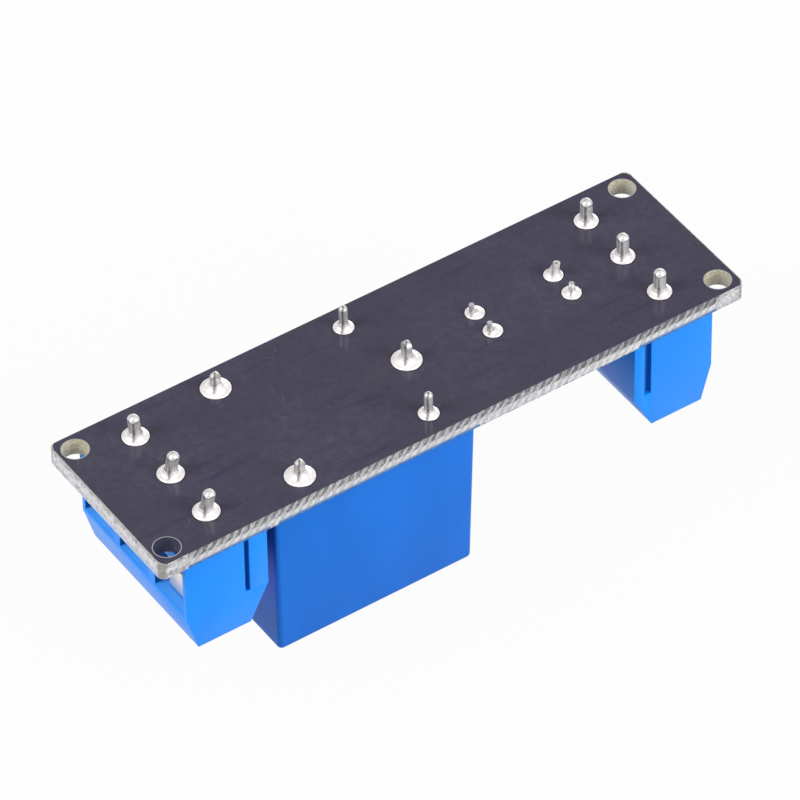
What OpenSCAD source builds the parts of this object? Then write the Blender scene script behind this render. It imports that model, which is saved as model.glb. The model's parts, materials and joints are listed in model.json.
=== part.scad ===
// Relay module with a screw terminal block at each end of its board.
// It stands on the outer face of its relay, with the solder side up.
// X runs along the board, Y across it and Z up. The origin is under the board's middle,
// on the face that the module stands on.

/* [Board] */
// Length of the circuit board
board_l = 55.8; // [54:0.1:70]
// Width of the circuit board
board_w = 16.3; // [16:0.1:24]
// Thickness of the circuit board
board_t = 1.6; // [0.8:0.1:2.4]
// Radius of the board's corners
board_corner_r = 0.6; // [0.6:0.1:2.4]
// Distance from the board's edges to the centres of its corner holes
hole_inset = 1.55; // [1.5:0.05:1.8]
// Diameter of the corner holes
hole_d = 2.2; // [1.6:0.1:2.4]

/* [Terminal blocks] */
// Distance between neighbouring poles of a block
pitch = 5.08; // [5:0.01:5.08]
// Distance from the board's ends to the rows of terminal pins
pin_inset = 6.2; // [5.5:0.1:7]
// How far both housings sit to the side of their pin rows
housing_shift = -0.12; // [-0.12:0.02:0]
// Width of a housing across the board
block_w = 15.1; // [14.9:0.1:16]
// Height of a housing below the board
block_h = 9.85; // [9:0.05:12]
// Height of the upright part of the front and back walls
block_wall_h = 6.4; // [6:0.1:7]
// Distance from the pins to the wire side of a housing
block_front = 3.6; // [3.3:0.1:4.5]
// Distance from the pins to the back of a housing
block_back = 4.05; // [3.5:0.05:4.4]
// How far the front slopes in over its lower part
front_slope = 0.97; // [0.5:0.01:1.1]
// How far the back slopes in over its lower part
back_slope = 1.75; // [0.5:0.05:1.9]
// Diameter of the holes that a screwdriver goes through
access_d = 4; // [3.8:0.1:4.2]
// Distance from the pins to the screws, towards the wire side
screw_offset = 0.2; // [0:0.05:0.3]
// Height that the end grooves reach below the board
groove_h = 6.3; // [3:0.1:6.5]
// Depth of the end grooves
groove_depth = 0.5; // [0.2:0.05:0.8]
// Width of the groove beside the rail
narrow_groove_w = 0.4; // [0.2:0.05:0.5]
// Width of the groove at the other end
wide_groove_w = 0.65; // [0.5:0.05:0.8]
// Width of the raised rail at one end
rail_w = 1.25; // [0.8:0.05:1.3]
// Height of the raised rail
rail_proud = 0.08; // [0.04:0.02:0.2]
// Distance from the back of a housing to its rail
rail_inset = 0.5; // [0.3:0.05:0.6]
// Distance from the back of a housing to its wide groove
wide_groove_inset = 1; // [0.8:0.05:1.2]

/* [Clamps] */
// Width of a clamp body
clamp_w = 3.95; // [3.6:0.05:4.1]
// Height of a clamp body
clamp_h = 5.4; // [5:0.1:5.4]
// Distance from the pin to the wire side of a clamp body
clamp_front = 2.5; // [2:0.1:2.6]
// Distance from the pin to the back of a clamp body
clamp_back = 1.6; // [1.4:0.05:1.8]
// Thickness of the sides of a clamp body
clamp_side_t = 0.5; // [0.4:0.05:0.6]
// Thickness of the floor of a clamp body, next to the board
clamp_floor_t = 0.6; // [0.4:0.05:0.8]
// Thickness of the tapped bar of a clamp body
clamp_bar_t = 2; // [1.2:0.1:2]
// Gap between a clamp body and the board
clamp_seat = 0.5; // [0.1:0.05:0.5]
// Width of a terminal pin, along the board
pin_w = 0.9; // [0.8:0.05:1.2]
// Thickness of a terminal pin, both layers of its strip together
pin_t = 0.9; // [0.8:0.05:1.2]
// Radius of the long edges of a terminal pin
pin_edge_r = 0.3; // [0.1:0.05:0.35]
// Width of the seam between the two layers of a terminal pin
seam_w = 0.07; // [0.05:0.01:0.2]
// Depth of the seam between the two layers of a terminal pin
seam_depth = 0.1; // [0.05:0.01:0.3]
// How far the pins of the left block stand above the board
left_pin_proud = 2.3; // [1.5:0.05:3]
// How far the pins of the right block stand above the board
right_pin_proud = 2.4; // [1.5:0.05:3]
// Thickness of a pressure plate
plate_t = 0.5; // [0.3:0.05:0.5]
// Thickness of the lip at the front of a pressure plate
lip_t = 0.3; // [0.2:0.05:0.4]
// Height of the lip at the front of a pressure plate
lip_h = 2.45; // [1:0.05:2.5]

/* [Terminal screws] */
// Thread diameter of a screw
screw_d = 2.5; // [2:0.1:2.6]
// Rise of the thread in one turn
screw_pitch = 0.45; // [0.35:0.05:0.45]
// Turns from open to clamped
screw_turns = 4; // [2:1:4]
// Diameter of a screw's head
head_d = 3.7; // [3.2:0.05:3.8]
// Height of a screw's head
head_h = 1.3; // [0.8:0.1:1.5]
// Gap between a clamp body and a screw's head when it is screwed in
head_gap = 0.3; // [0.2:0.05:0.5]
// Size of the edge of a screw's head
head_edge = 0.2; // [0.1:0.05:0.3]
// Width of the slot in a screw's head
slot_w = 0.7; // [0.4:0.05:0.9]
// Depth of the slot in a screw's head
slot_depth = 0.7; // [0.4:0.05:0.75]
// Diameter of the riveted nose that holds the pressure plate
nose_d = 1.3; // [1:0.1:1.4]
// Diameter of the rivet head on the nose
nose_head_d = 2; // [1.6:0.1:2.2]
// Thickness of the rivet head on the nose
nose_head_t = 0.2; // [0.15:0.05:0.25]

/* [Relay case] */
// Height of the relay below the board
relay_h = 15.2; // [15:0.1:18]
// Length of the relay's case
case_l = 19.05; // [18.9:0.05:21]
// Width of the relay's case
case_w = 15.2; // [15:0.1:16]
// Distance between the left housing and the relay
relay_gap = 0.77; // [0.3:0.01:1.5]
// How much each end of the case leans in from board to outer face
end_draft = 0.25; // [0:0.05:0.3]
// How much each side of the case leans in from board to outer face
side_draft = 0.3; // [0:0.05:0.3]
// Radius of the case's edges
case_edge_r = 0.45; // [0.2:0.05:0.6]
// Thickness of the case's walls
case_wall = 0.7; // [0.5:0.05:0.75]
// Thickness of the case's outer face
case_face_t = 0.8; // [0.6:0.1:1]
// Height of the feet that hold the relay off the board
foot_h = 0.2; // [0.1:0.05:0.4]
// Diameter of the feet
foot_d = 1.2; // [0.8:0.1:1.6]
// Thickness of the relay's base
base_t = 1.6; // [1:0.1:1.8]
// Diameter of the round dimple round the sealed vent in the outer face
vent_d = 2; // [1.5:0.1:2.5]
// Depth of the dimple
vent_depth = 0.35; // [0.2:0.05:0.5]
// Distance of the dimple from the case's ends and sides
vent_inset = 2.4; // [2:0.1:4]

/* [Relay pins] */
// Distance across the board between paired pins
pin_row = 12; // [11.8:0.1:12.2]
// Distance along the board from the common pin to the coil pins
coil_pin_dx = 2; // [1.9:0.05:2.1]
// Distance along the board from the common pin to the contact pins
contact_dx = 14.2; // [14.1:0.05:14.3]
// Distance from the end of the case to the contact pins
contact_inset = 3.44; // [3.4:0.02:3.5]
// Diameter of a coil pin
coil_pin_d = 0.72; // [0.5:0.02:0.8]
// Width of a contact pin
contact_pin_w = 0.8; // [0.6:0.05:1]
// Thickness of a contact pin and of the strip it belongs to
contact_pin_t = 0.4; // [0.3:0.05:0.5]
// Width of the common pin
common_pin_w = 0.9; // [0.7:0.05:1.2]
// Thickness of the common pin and of its strip
common_pin_t = 0.5; // [0.4:0.05:0.6]
// How far the coil pins stand above the board
coil_pin_proud = 2.3; // [1:0.1:3]
// How far the contact pins stand above the board
contact_pin_proud = 1.7; // [1:0.1:3]
// How far the common pin stands above the board
common_pin_proud = 2; // [1:0.1:3]

/* [Relay mechanism] */
// Thickness of the yoke
yoke_t = 1; // [0.8:0.05:1.1]
// Width of the yoke
yoke_w = 8; // [6:0.1:8.4]
// Length of the yoke's leg under the bobbin
yoke_foot_l = 7.9; // [7.7:0.1:8.6]
// Distance along the board from the common pin to the core
core_dx = 5.85; // [5.8:0.05:5.9]
// Diameter of the core
core_d = 3; // [2.4:0.1:3.2]
// Diameter of the core's pole
pole_d = 4.4; // [3.6:0.1:4.6]
// Thickness of the core's pole
pole_t = 0.6; // [0.4:0.1:0.8]
// Thickness of the bobbin's tube
tube_wall = 0.6; // [0.4:0.05:0.8]
// Diameter of the bobbin's flanges
flange_d = 9; // [8.2:0.1:9.1]
// Thickness of the bobbin's flanges
flange_t = 0.6; // [0.5:0.05:0.8]
// Diameter of the coil
coil_d = 8.6; // [7:0.1:8.8]
// Thickness of the armature
armature_t = 1; // [0.8:0.05:1.1]
// Width of the armature
armature_w = 7; // [5:0.1:7.6]
// Distance from the relay's outer face to the armature
armature_z = 3.2; // [3.1:0.05:3.5]
// Angle that the armature turns through
armature_swing = 2; // [1:0.1:2]
// Thickness of the contact blade
blade_t = 0.2; // [0.1:0.05:0.25]
// Width of the contact blade
blade_w = 4; // [3:0.1:4.6]
// Diameter of the contacts
contact_d = 1.6; // [1.2:0.1:2]
// Height of each contact
contact_t = 0.4; // [0.3:0.05:0.5]
// Width of the strips that carry the fixed contacts
tab_w = 2.4; // [1.8:0.1:2.6]
// Distance from the hinge to the start of the contact blade
blade_start = 2.2; // [1.8:0.1:2.6]
// How far the contact blade reaches past its contact
blade_end = 0.9; // [0.8:0.05:1.2]
// Gap between the armature's heel and the case
heel_gap = 0.15; // [0.1:0.05:0.3]
// How far the armature reaches past the core
past_pole = 2; // [1:0.1:2.4]
// How far the bobbin's ears reach past the coil pins
ear_reach = 0.6; // [0.4:0.05:0.8]
// Length of the bobbin's ears
ear_l = 1.5; // [1.2:0.1:1.8]
// How far the coil pins reach below the bobbin's ears
below_ear = 0.4; // [0.2:0.05:0.6]
// How far the fixed contacts' strips reach past the middle
past_middle = 1.2; // [1:0.1:1.6]
// Width of the common strip
strip_w = 3; // [2:0.1:3.4]
// Gap between the tab of the common strip and its neighbour
tab_gap = 0.25; // [0.15:0.05:0.4]
// How far the tab of the common strip reaches
tab_reach = 1.6; // [1.2:0.1:2]

/* [Lamps and small parts] */
// Diameter of a lamp's body
led_d = 2.9; // [2.6:0.1:3]
// Diameter of the collar at the foot of a lamp
led_collar_d = 3.1; // [3:0.1:3.4]
// Height of the collar
led_collar_h = 0.8; // [0.5:0.1:1.2]
// Height of a lamp
led_h = 5.3; // [4.5:0.1:6]
// Distance between the two leads of a lamp
lead_pitch = 2.54; // [2.4:0.01:2.6]
// Diameter of a lamp's leads
lead_d = 0.45; // [0.4:0.05:0.6]
// How far a lamp's leads stand above the board
lead_proud = 1.1; // [0.8:0.1:2]
// Distance between the two lamps
led_spacing = 7.97; // [7:0.01:8.5]
// Gap between the second lamp and the right housing
led_gap = 0.15; // [0.1:0.05:0.5]
// How far the lamps sit off the middle of the board
led_y = 0.1; // [0:0.05:0.3]
// Length of a chip resistor
chip_l = 2; // [1.6:0.1:2.2]
// Width of a chip resistor
chip_w = 1.25; // [0.8:0.05:1.4]
// Height of a chip resistor
chip_h = 0.5; // [0.35:0.05:0.6]
// Distance of the transistor and the diode from the middle of the board
small_part_y = 4.6; // [4.2:0.1:5.2]
// Distance from the relay to the middle of the transistor and the diode
small_part_gap = 2.33; // [2:0.01:3]
// Distance between the two chip resistors that stand side by side
chip_pitch = 2.9; // [1.6:0.1:3.1]
// Width of the transistor's body
transistor_w = 1.3; // [1:0.1:1.6]
// Length of the transistor's body
transistor_l = 2.9; // [2.4:0.1:3.2]
// Height of the transistor's body
transistor_h = 1.1; // [0.8:0.1:1.4]
// Distance of the transistor's outer leads from its middle
lead_spread = 0.95; // [0.7:0.05:1.1]
// Width of the transistor's leads
transistor_lead_w = 0.42; // [0.3:0.02:0.5]
// How far the transistor's feet reach out from its bends
transistor_lead_reach = 0.5; // [0.3:0.05:0.7]
// Length of the diode's body
diode_l = 2.7; // [2.2:0.1:3]
// Width of the diode's body
diode_w = 1.6; // [1.2:0.1:2]
// Height of the diode's body
diode_h = 1.15; // [0.8:0.05:1.4]
// Width of the diode's leads
diode_lead_w = 0.6; // [0.4:0.05:0.9]
// How far the diode's feet reach out from its bends
diode_lead_reach = 0.45; // [0.3:0.05:0.7]
// How far a moulded body slopes in at its top and bottom
body_slope = 0.12; // [0.05:0.01:0.2]
// Gap between a moulded body and the board
off_board = 0.08; // [0.02:0.01:0.15]
// Thickness of the leads of the transistor and the diode
smd_lead_t = 0.12; // [0.08:0.01:0.2]
// Length of the thick part of their feet
smd_foot_l = 0.4; // [0.2:0.05:0.5]
// Distance from a moulded body to the bends of its leads
lead_out = 0.1; // [0.05:0.01:0.2]

/* [Solder] */
// Diameter of the joints on the left block
left_joint_d = 2.25; // [1.9:0.05:2.6]
// Diameter of the joints on the right block
right_joint_d = 2.05; // [1.9:0.05:2.6]
// Diameter of the joints on the relay's contact and common pins
contact_joint_d = 2.55; // [1.8:0.05:3]
// Diameter of the joints on the coil pins
coil_joint_d = 1.75; // [1.5:0.05:2.2]
// Diameter of the joints on the lamps' leads
lead_joint_d = 1.65; // [1.3:0.05:2]
// How far the joints of the first lamp spread to one side of its leads
power_joint_shift = 0.3; // [0:0.05:0.35]
// Height that the solder climbs up the leads of the first lamp
low_climb = 0.3; // [0.2:0.05:0.5]
// Height and radius of the rounded edge of a joint
joint_dome = 0.15; // [0.15:0.01:0.4]
// Height that the solder climbs up a pin
joint_climb = 0.55; // [0.3:0.05:0.9]
// Height of the drawn-out joint on the second lamp
drawn_climb = 1.35; // [1:0.05:1.6]
// How far the solder at the top of its climb reaches out from a pin
climb_collar = 0.08; // [0.04:0.01:0.12]

/* [Fits] */
// Gap between a pin and the solder or base round it
pin_gap = 0.01; // [0.01:0.01:0.03]
// Room for solder between a pin's corners and the wall of its hole
solder_room = 0.15; // [0.1:0.01:0.25]
// Gap between a clamp body and its pocket
pocket_gap = 0.1; // [0.05:0.01:0.15]
// Room for the housing to sit to the side of its clamp bodies
pocket_play = 0.18; // [0.16:0.01:0.25]
// Gap between a screw and the thread of its clamp body
thread_gap = 0.04; // [0.02:0.01:0.08]
// Gap between faces that rub or rest against each other
rub_gap = 0.02; // [0.01:0.01:0.04]
// Gap between the relay's case and its base
base_gap = 0.1; // [0.05:0.01:0.15]

/* [Hidden] */
$fn = 64;
cut = 1;
poles = 3;
pole_count = 2 * poles;

// Heights in the whole module
board_z = relay_h;

// Holes for the pins, wide enough for the pins' corners and some solder
pin_reach = norm([pin_w, pin_t]) / 2 - (sqrt(2) - 1) * pin_edge_r;
terminal_hole_d = norm([pin_w, pin_t]) + 2 * solder_room;
common_hole_d = norm([common_pin_w, common_pin_t]) + 2 * solder_room;
contact_hole_d = norm([contact_pin_w, contact_pin_t]) + 2 * solder_room;
coil_hole_d = coil_pin_d + 2 * solder_room;
lead_hole_d = lead_d + 2 * solder_room;

// Places along the board
pin_row_x = board_l / 2 - pin_inset;
left_block_back = -pin_row_x + block_back + housing_shift;
right_block_back = pin_row_x - block_back + housing_shift;
case_left = left_block_back + relay_gap;
case_right = case_left + case_l;
common_x = case_left + contact_inset + contact_dx;
relay_led_x = right_block_back - led_gap - led_collar_d / 2;
power_led_x = relay_led_x - led_spacing;
small_part_x = case_right + small_part_gap;

// Heights in a clamp, below the board
pocket_h = clamp_seat + clamp_h + pocket_gap;
sill_h = clamp_seat + clamp_floor_t;
bar_far_z = -clamp_seat - clamp_h;
bar_near_z = bar_far_z + clamp_bar_t;
plate_z = bar_near_z + rub_gap;
screw_travel = screw_turns * screw_pitch;
head_z = bar_far_z - screw_travel - head_gap;

// Places in the relay, from its common pin and the board's face
case_x = case_left - common_x + case_l / 2;
base_z = -foot_h - base_t;
hinge_x = -common_pin_t / 2 - yoke_t;
armature_far_z = armature_z - relay_h;
armature_near_z = armature_far_z + armature_t;
yoke_top_z = armature_near_z + rub_gap;
pole_reach = core_dx + hinge_x + pole_d / 2;
pole_z = yoke_top_z + pole_reach * sin(armature_swing) + rub_gap;
blade_far_z = armature_far_z - blade_t;
contact_reach = contact_dx + hinge_x + contact_d / 2;
moving_contact_top_z = armature_far_z + contact_t;
moving_contact_low_z = blade_far_z - contact_t;
open_contact_z = moving_contact_top_z + contact_reach * sin(armature_swing) + 2 * rub_gap;
closed_contact_z = moving_contact_low_z - rub_gap;
bobbin_low_z = pole_z + pole_t + rub_gap;
bobbin_top_z = base_z - yoke_t - rub_gap;

// ---------- Shared shapes ----------

// A blade that stands on the XY plane, w along X and t along Y, with a round end on top
module round_ended_blade(w, t, h) {
    rotate([90, 0, 0])
        linear_extrude(t, center = true)
            union() {
                translate([-w / 2, 0])
                    square([w, h - w / 2]);
                translate([0, h - w / 2])
                    circle(d = w);
            }
}

// A rectangle with exact round corners
module rounded_rectangle(l, w, r) {
    union() {
        square([l - 2 * r, w], center = true);
        square([l, w - 2 * r], center = true);
        for (x = [-1, 1], y = [-1, 1])
            translate([x * (l / 2 - r), y * (w / 2 - r)])
                circle(r);
    }
}

// A box centred in X and Y that reaches from z1 up to z2
module upright_box(w, l, z1, z2) {
    translate([-w / 2, -l / 2, z1])
        cube([w, l, z2 - z1]);
}

// Puts a pole's local frame in place: X towards the wire side, Z up from the board's face
module at_pole(i) {
    left = i <= poles;
    row = (i - 1) % poles - (poles - 1) / 2;
    translate([left ? -pin_row_x : pin_row_x, row * pitch, board_z])
        rotate([0, 0, left ? 180 : 0])
            children();
}

// Puts the relay's local frame in place, at its common pin and the board's face
module at_relay() {
    translate([common_x, 0, board_z])
        children();
}

// Repeats its children at the two pins of a pair that lie across the board
module across(distance) {
    for (side = [-1, 1])
        translate([0, side * distance / 2, 0])
            children();
}

function pin_proud(i) = i <= poles ? left_pin_proud : right_pin_proud;
function joint_d(i) = i <= poles ? left_joint_d : right_joint_d;

// ---------- Circuit board ----------

module circuit_board() {
    color("darkslategray")
        translate([0, 0, board_z])
            difference() {
                linear_extrude(board_t)
                    rounded_rectangle(board_l, board_w, board_corner_r);
                corner_holes();
                pin_holes();
            }
}

module corner_holes() {
    for (x = [-1, 1], y = [-1, 1])
        translate([x * (board_l / 2 - hole_inset), y * (board_w / 2 - hole_inset), -cut])
            cylinder(d = hole_d, h = board_t + 2 * cut);
}

module pin_holes() {
    translate([0, 0, -board_z]) {
        for (i = [1 : pole_count])
            at_pole(i)
                board_hole(terminal_hole_d);
        at_relay() {
            board_hole(common_hole_d);
            translate([-coil_pin_dx, 0, 0])
                across(pin_row)
                    board_hole(coil_hole_d);
            translate([-contact_dx, 0, 0])
                across(pin_row)
                    board_hole(contact_hole_d);
        }
        for (x = [power_led_x, relay_led_x])
            translate([x, led_y, board_z])
                across(lead_pitch)
                    board_hole(lead_hole_d);
    }
}

module board_hole(d) {
    translate([0, 0, -cut])
        cylinder(d = d, h = board_t + 2 * cut);
}

// ---------- Terminal housings ----------

// A moulded housing with a pocket, a wire opening and a screwdriver hole for each pole
module terminal_housing() {
    color("dodgerblue")
        difference() {
            union() {
                extrude_across(block_w)
                    housing_profile();
                end_rail();
            }
            for (k = [0 : poles - 1])
                translate([0, (k - (poles - 1) / 2) * pitch, 0])
                    pole_cuts();
            end_groove(1, rail_inset + rail_w, narrow_groove_w);
            end_groove(-1, wide_groove_inset, wide_groove_w);
        }
}

module extrude_across(w) {
    rotate([90, 0, 0])
        linear_extrude(w, center = true)
            children();
}

module housing_profile() {
    polygon([
        [block_front, 0],
        [-block_back, 0],
        [-block_back, -block_wall_h],
        [back_slope - block_back, -block_h],
        [block_front - front_slope, -block_h],
        [block_front, -block_wall_h]
    ]);
}

module pole_cuts() {
    pocket_w = clamp_w + 2 * pocket_gap;
    pocket_back = clamp_back + pocket_play;
    translate([-pocket_back, -pocket_w / 2, -pocket_h])
        cube([pocket_back + clamp_front + lip_t + rub_gap + pocket_play, pocket_w, pocket_h + cut]);
    translate([0, -pocket_w / 2, -pocket_h])
        cube([block_front + cut, pocket_w, pocket_h - sill_h]);
    translate([screw_offset, 0, -block_h - cut])
        cylinder(d = access_d, h = block_h + cut - clamp_h);
}

// The rail and grooves by which blocks of this kind are joined end to end
module end_rail() {
    translate([rail_inset - block_back, block_w / 2 - cut, -groove_h])
        cube([rail_w, cut + rail_proud, groove_h]);
}

module end_groove(end, inset, w) {
    translate([inset - block_back, end > 0 ? block_w / 2 - groove_depth : -block_w / 2 - cut, -groove_h])
        cube([w, groove_depth + cut, groove_h + cut]);
}

module left_terminal_housing() {
    translate([housing_shift - pin_row_x, 0, board_z])
        rotate([0, 0, 180])
            terminal_housing();
}

module right_terminal_housing() {
    translate([housing_shift + pin_row_x, 0, board_z])
        terminal_housing();
}

// ---------- Terminal clamps ----------

// A strip folded into a ring, with a tapped bar and with both its ends folded up as the pin
module clamp_body(i) {
    color("silver")
        at_pole(i)
            difference() {
                union() {
                    clamp_ring();
                    translate([0, 0, -sill_h])
                        terminal_pin(sill_h + board_t + pin_proud(i));
                }
                translate([0, 0, -sill_h])
                    pin_seam(sill_h + board_t + pin_proud(i));
                translate([screw_offset, 0, bar_far_z - cut])
                    cylinder(d = screw_d + 2 * thread_gap, h = clamp_bar_t + cut + cut);
            }
}

module clamp_ring() {
    ring_l = clamp_front + clamp_back;
    window_w = clamp_w - 2 * clamp_side_t;
    translate([-clamp_back, 0, 0])
        difference() {
            translate([0, -clamp_w / 2, bar_far_z])
                cube([ring_l, clamp_w, clamp_h]);
            translate([-cut, -window_w / 2, bar_near_z])
                cube([ring_l + 2 * cut, window_w, -sill_h - bar_near_z]);
        }
}

// The pin, square with round edges, with a ball-shaped end on top
module terminal_pin(h) {
    tip_r = pin_reach + pin_gap;
    intersection() {
        linear_extrude(h)
            pin_section(0);
        union() {
            cylinder(r = 2 * tip_r, h = h - tip_r);
            translate([0, 0, h - tip_r])
                sphere(tip_r);
        }
    }
}

module pin_section(grow) {
    rounded_rectangle(pin_w + 2 * grow, pin_t + 2 * grow, pin_edge_r + grow);
}

// The line all round the pin where its two layers meet
module pin_seam(h) {
    difference() {
        upright_box(pin_w + cut, seam_w, clamp_floor_t, h + cut);
        translate([0, 0, -cut])
            round_ended_blade(pin_w - 2 * seam_depth, seam_w + cut, h + cut - seam_depth);
    }
}

// The plate that a screw presses on the wire, with a lip in front of the tapped bar
module pressure_plate(i) {
    plate_w = clamp_w - 2 * clamp_side_t - 2 * pocket_gap;
    lip_x = clamp_front + rub_gap;
    color("gainsboro")
        at_pole(i)
            difference() {
                extrude_across(plate_w)
                    polygon([
                        [-clamp_back, plate_z],
                        [lip_x, plate_z],
                        [lip_x, plate_z + plate_t - lip_h],
                        [lip_x + lip_t, plate_z + plate_t - lip_h],
                        [lip_x + lip_t, plate_z + plate_t],
                        [-clamp_back, plate_z + plate_t]
                    ]);
                translate([screw_offset, 0, plate_z - cut])
                    cylinder(d = nose_d + 2 * thread_gap, h = plate_t + 2 * cut);
            }
}

// A slotted screw, head down, with its nose riveted through the pressure plate
module terminal_screw(i) {
    nose_z = plate_z + plate_t + rub_gap;
    color("lightgray")
        at_pole(i)
            translate([screw_offset, 0, 0])
                difference() {
                    union() {
                        screw_head();
                        translate([0, 0, head_z - head_h / 2])
                            cylinder(d = screw_d, h = bar_near_z - head_z + head_h / 2);
                        translate([0, 0, bar_near_z - cut])
                            cylinder(d = nose_d, h = nose_z - bar_near_z + cut);
                        translate([0, 0, nose_z])
                            cylinder(d = nose_head_d, h = nose_head_t);
                    }
                    upright_box(head_d + cut, slot_w, head_z - head_h - cut, head_z - head_h + slot_depth);
                }
}

module screw_head() {
    translate([0, 0, head_z - head_h + head_edge])
        cylinder(d = head_d, h = head_h - head_edge);
    translate([0, 0, head_z - head_h])
        cylinder(d1 = head_d - 2 * head_edge, d2 = head_d, h = head_edge);
}

// ---------- Relay case and base ----------

// A box with round edges that narrows from the board to the outer face
module drafted_box(l, w, z_low, z_high, r) {
    hull() {
        for (x = [-1, 1], y = [-1, 1])
            translate([x * (l / 2 - r - end_draft), y * (w / 2 - r - side_draft), z_low + r])
                sphere(r, $fn = 24);
        for (x = [-1, 1], y = [-1, 1])
            translate([x * (l / 2 - r), y * (w / 2 - r), z_high - r])
                cylinder(r = r, h = r, $fn = 24);
    }
}

module relay_case() {
    inner_l = case_l - 2 * case_wall;
    inner_w = case_w - 2 * case_wall;
    color("royalblue")
        at_relay()
            translate([case_x, 0, 0])
                difference() {
                    drafted_box(case_l, case_w, -relay_h, -foot_h, case_edge_r);
                    drafted_box(inner_l, inner_w, case_face_t - relay_h, cut, case_edge_r / 2);
                    translate([case_l / 2 - vent_inset, case_w / 2 - vent_inset, -relay_h - cut])
                        cylinder(d = vent_d, h = cut + vent_depth);
                }
}

module relay_base() {
    room = 2 * (case_wall + base_gap);
    foot_inset = case_wall + foot_d;
    color("midnightblue")
        at_relay()
            difference() {
                translate([case_x, 0, 0])
                    union() {
                        upright_box(case_l - room, case_w - room, base_z, -foot_h);
                        for (x = [-1, 1], y = [-1, 1])
                            translate([x * (case_l / 2 - foot_inset), y * (case_w / 2 - foot_inset), base_z])
                                cylinder(d = foot_d, h = -base_z);
                    }
                upright_box(common_pin_t + 2 * pin_gap, common_pin_w + 2 * pin_gap, base_z - cut, cut);
                translate([-coil_pin_dx, 0, base_z - cut])
                    across(pin_row)
                        cylinder(d = coil_pin_d + 2 * pin_gap, h = cut - base_z + cut);
                translate([-contact_dx, 0, 0])
                    across(pin_row)
                        upright_box(contact_pin_w + 2 * pin_gap, contact_pin_t + 2 * pin_gap, base_z - cut, cut);
            }
}

// ---------- Relay magnet ----------

// An angle of iron strip: one leg behind the coil and one under it, which holds the core
module relay_yoke() {
    color("slategray")
        at_relay()
            difference() {
                union() {
                    translate([hinge_x, -yoke_w / 2, base_z - yoke_t])
                        mirror([0, 0, 1])
                            cube([yoke_t, yoke_w, base_z - yoke_t - yoke_top_z]);
                    translate([hinge_x + yoke_t - yoke_foot_l, -yoke_w / 2, base_z - yoke_t])
                        cube([yoke_foot_l, yoke_w, yoke_t]);
                }
                translate([-core_dx, 0, base_z - yoke_t - cut])
                    cylinder(d = core_d + 2 * pin_gap, h = yoke_t + 2 * cut);
            }
}

module relay_core() {
    color("lightslategray")
        at_relay()
            translate([-core_dx, 0, pole_z]) {
                cylinder(d = pole_d, h = pole_t);
                cylinder(d = core_d, h = base_z - pole_z);
            }
}

// A tube with two flanges. The flange next to the base has two ears that hold the coil pins.
module relay_bobbin() {
    color("ivory")
        at_relay()
            difference() {
                union() {
                    translate([-core_dx, 0, bobbin_low_z]) {
                        cylinder(d = core_d + 2 * pin_gap + 2 * tube_wall, h = bobbin_top_z - bobbin_low_z);
                        cylinder(d = flange_d, h = flange_t);
                    }
                    translate([-core_dx, 0, bobbin_top_z - flange_t])
                        cylinder(d = flange_d, h = flange_t);
                    translate([-coil_pin_dx, 0, 0])
                        upright_box(ear_l, pin_row + 2 * ear_reach, bobbin_top_z - flange_t, bobbin_top_z);
                }
                translate([-core_dx, 0, bobbin_low_z - cut])
                    cylinder(d = core_d + 2 * pin_gap, h = bobbin_top_z - bobbin_low_z + 2 * cut);
                translate([-coil_pin_dx, 0, bobbin_top_z - flange_t - cut])
                    across(pin_row)
                        cylinder(d = coil_pin_d + 2 * pin_gap, h = flange_t + 2 * cut);
            }
}

module relay_coil() {
    winding_z = bobbin_low_z + flange_t + pin_gap;
    winding_h = bobbin_top_z - bobbin_low_z - 2 * flange_t - 2 * pin_gap;
    color("peru")
        at_relay()
            translate([-core_dx, 0, winding_z])
                difference() {
                    cylinder(d = coil_d, h = winding_h);
                    translate([0, 0, -cut])
                        cylinder(d = core_d + 4 * pin_gap + 2 * tube_wall, h = winding_h + 2 * cut);
                }
}

// The iron plate that rocks on the end of the yoke
module relay_armature() {
    armature_l = core_dx + pole_d / 2 + past_pole - common_pin_t / 2 - heel_gap;
    color("lightsteelblue")
        at_relay()
            translate([-core_dx - pole_d / 2 - past_pole, -armature_w / 2, armature_far_z])
                cube([armature_l, armature_w, armature_t]);
}

// ---------- Relay contacts ----------

// The springy blade on the armature, with a contact riveted through its end
module contact_blade() {
    color("goldenrod")
        at_relay() {
            translate([-contact_dx - blade_end, -blade_w / 2, blade_far_z])
                cube([contact_dx + blade_end - blade_start, blade_w, blade_t]);
            translate([-contact_dx, 0, moving_contact_low_z])
                cylinder(d = contact_d, h = moving_contact_top_z - moving_contact_low_z);
        }
}

// The strip on the yoke that is also the common pin. Its bent end keeps the armature's heel in.
module common_terminal() {
    tab_z = armature_far_z - tab_gap - common_pin_t;
    color("goldenrod")
        at_relay() {
            upright_box(common_pin_t, strip_w, tab_z, base_z);
            translate([-tab_reach, -strip_w / 2, tab_z])
                cube([tab_reach, strip_w, common_pin_t]);
            translate([0, 0, base_z])
                rotate([0, 0, 90])
                    round_ended_blade(common_pin_w, common_pin_t, board_t + common_pin_proud - base_z);
        }
}

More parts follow.
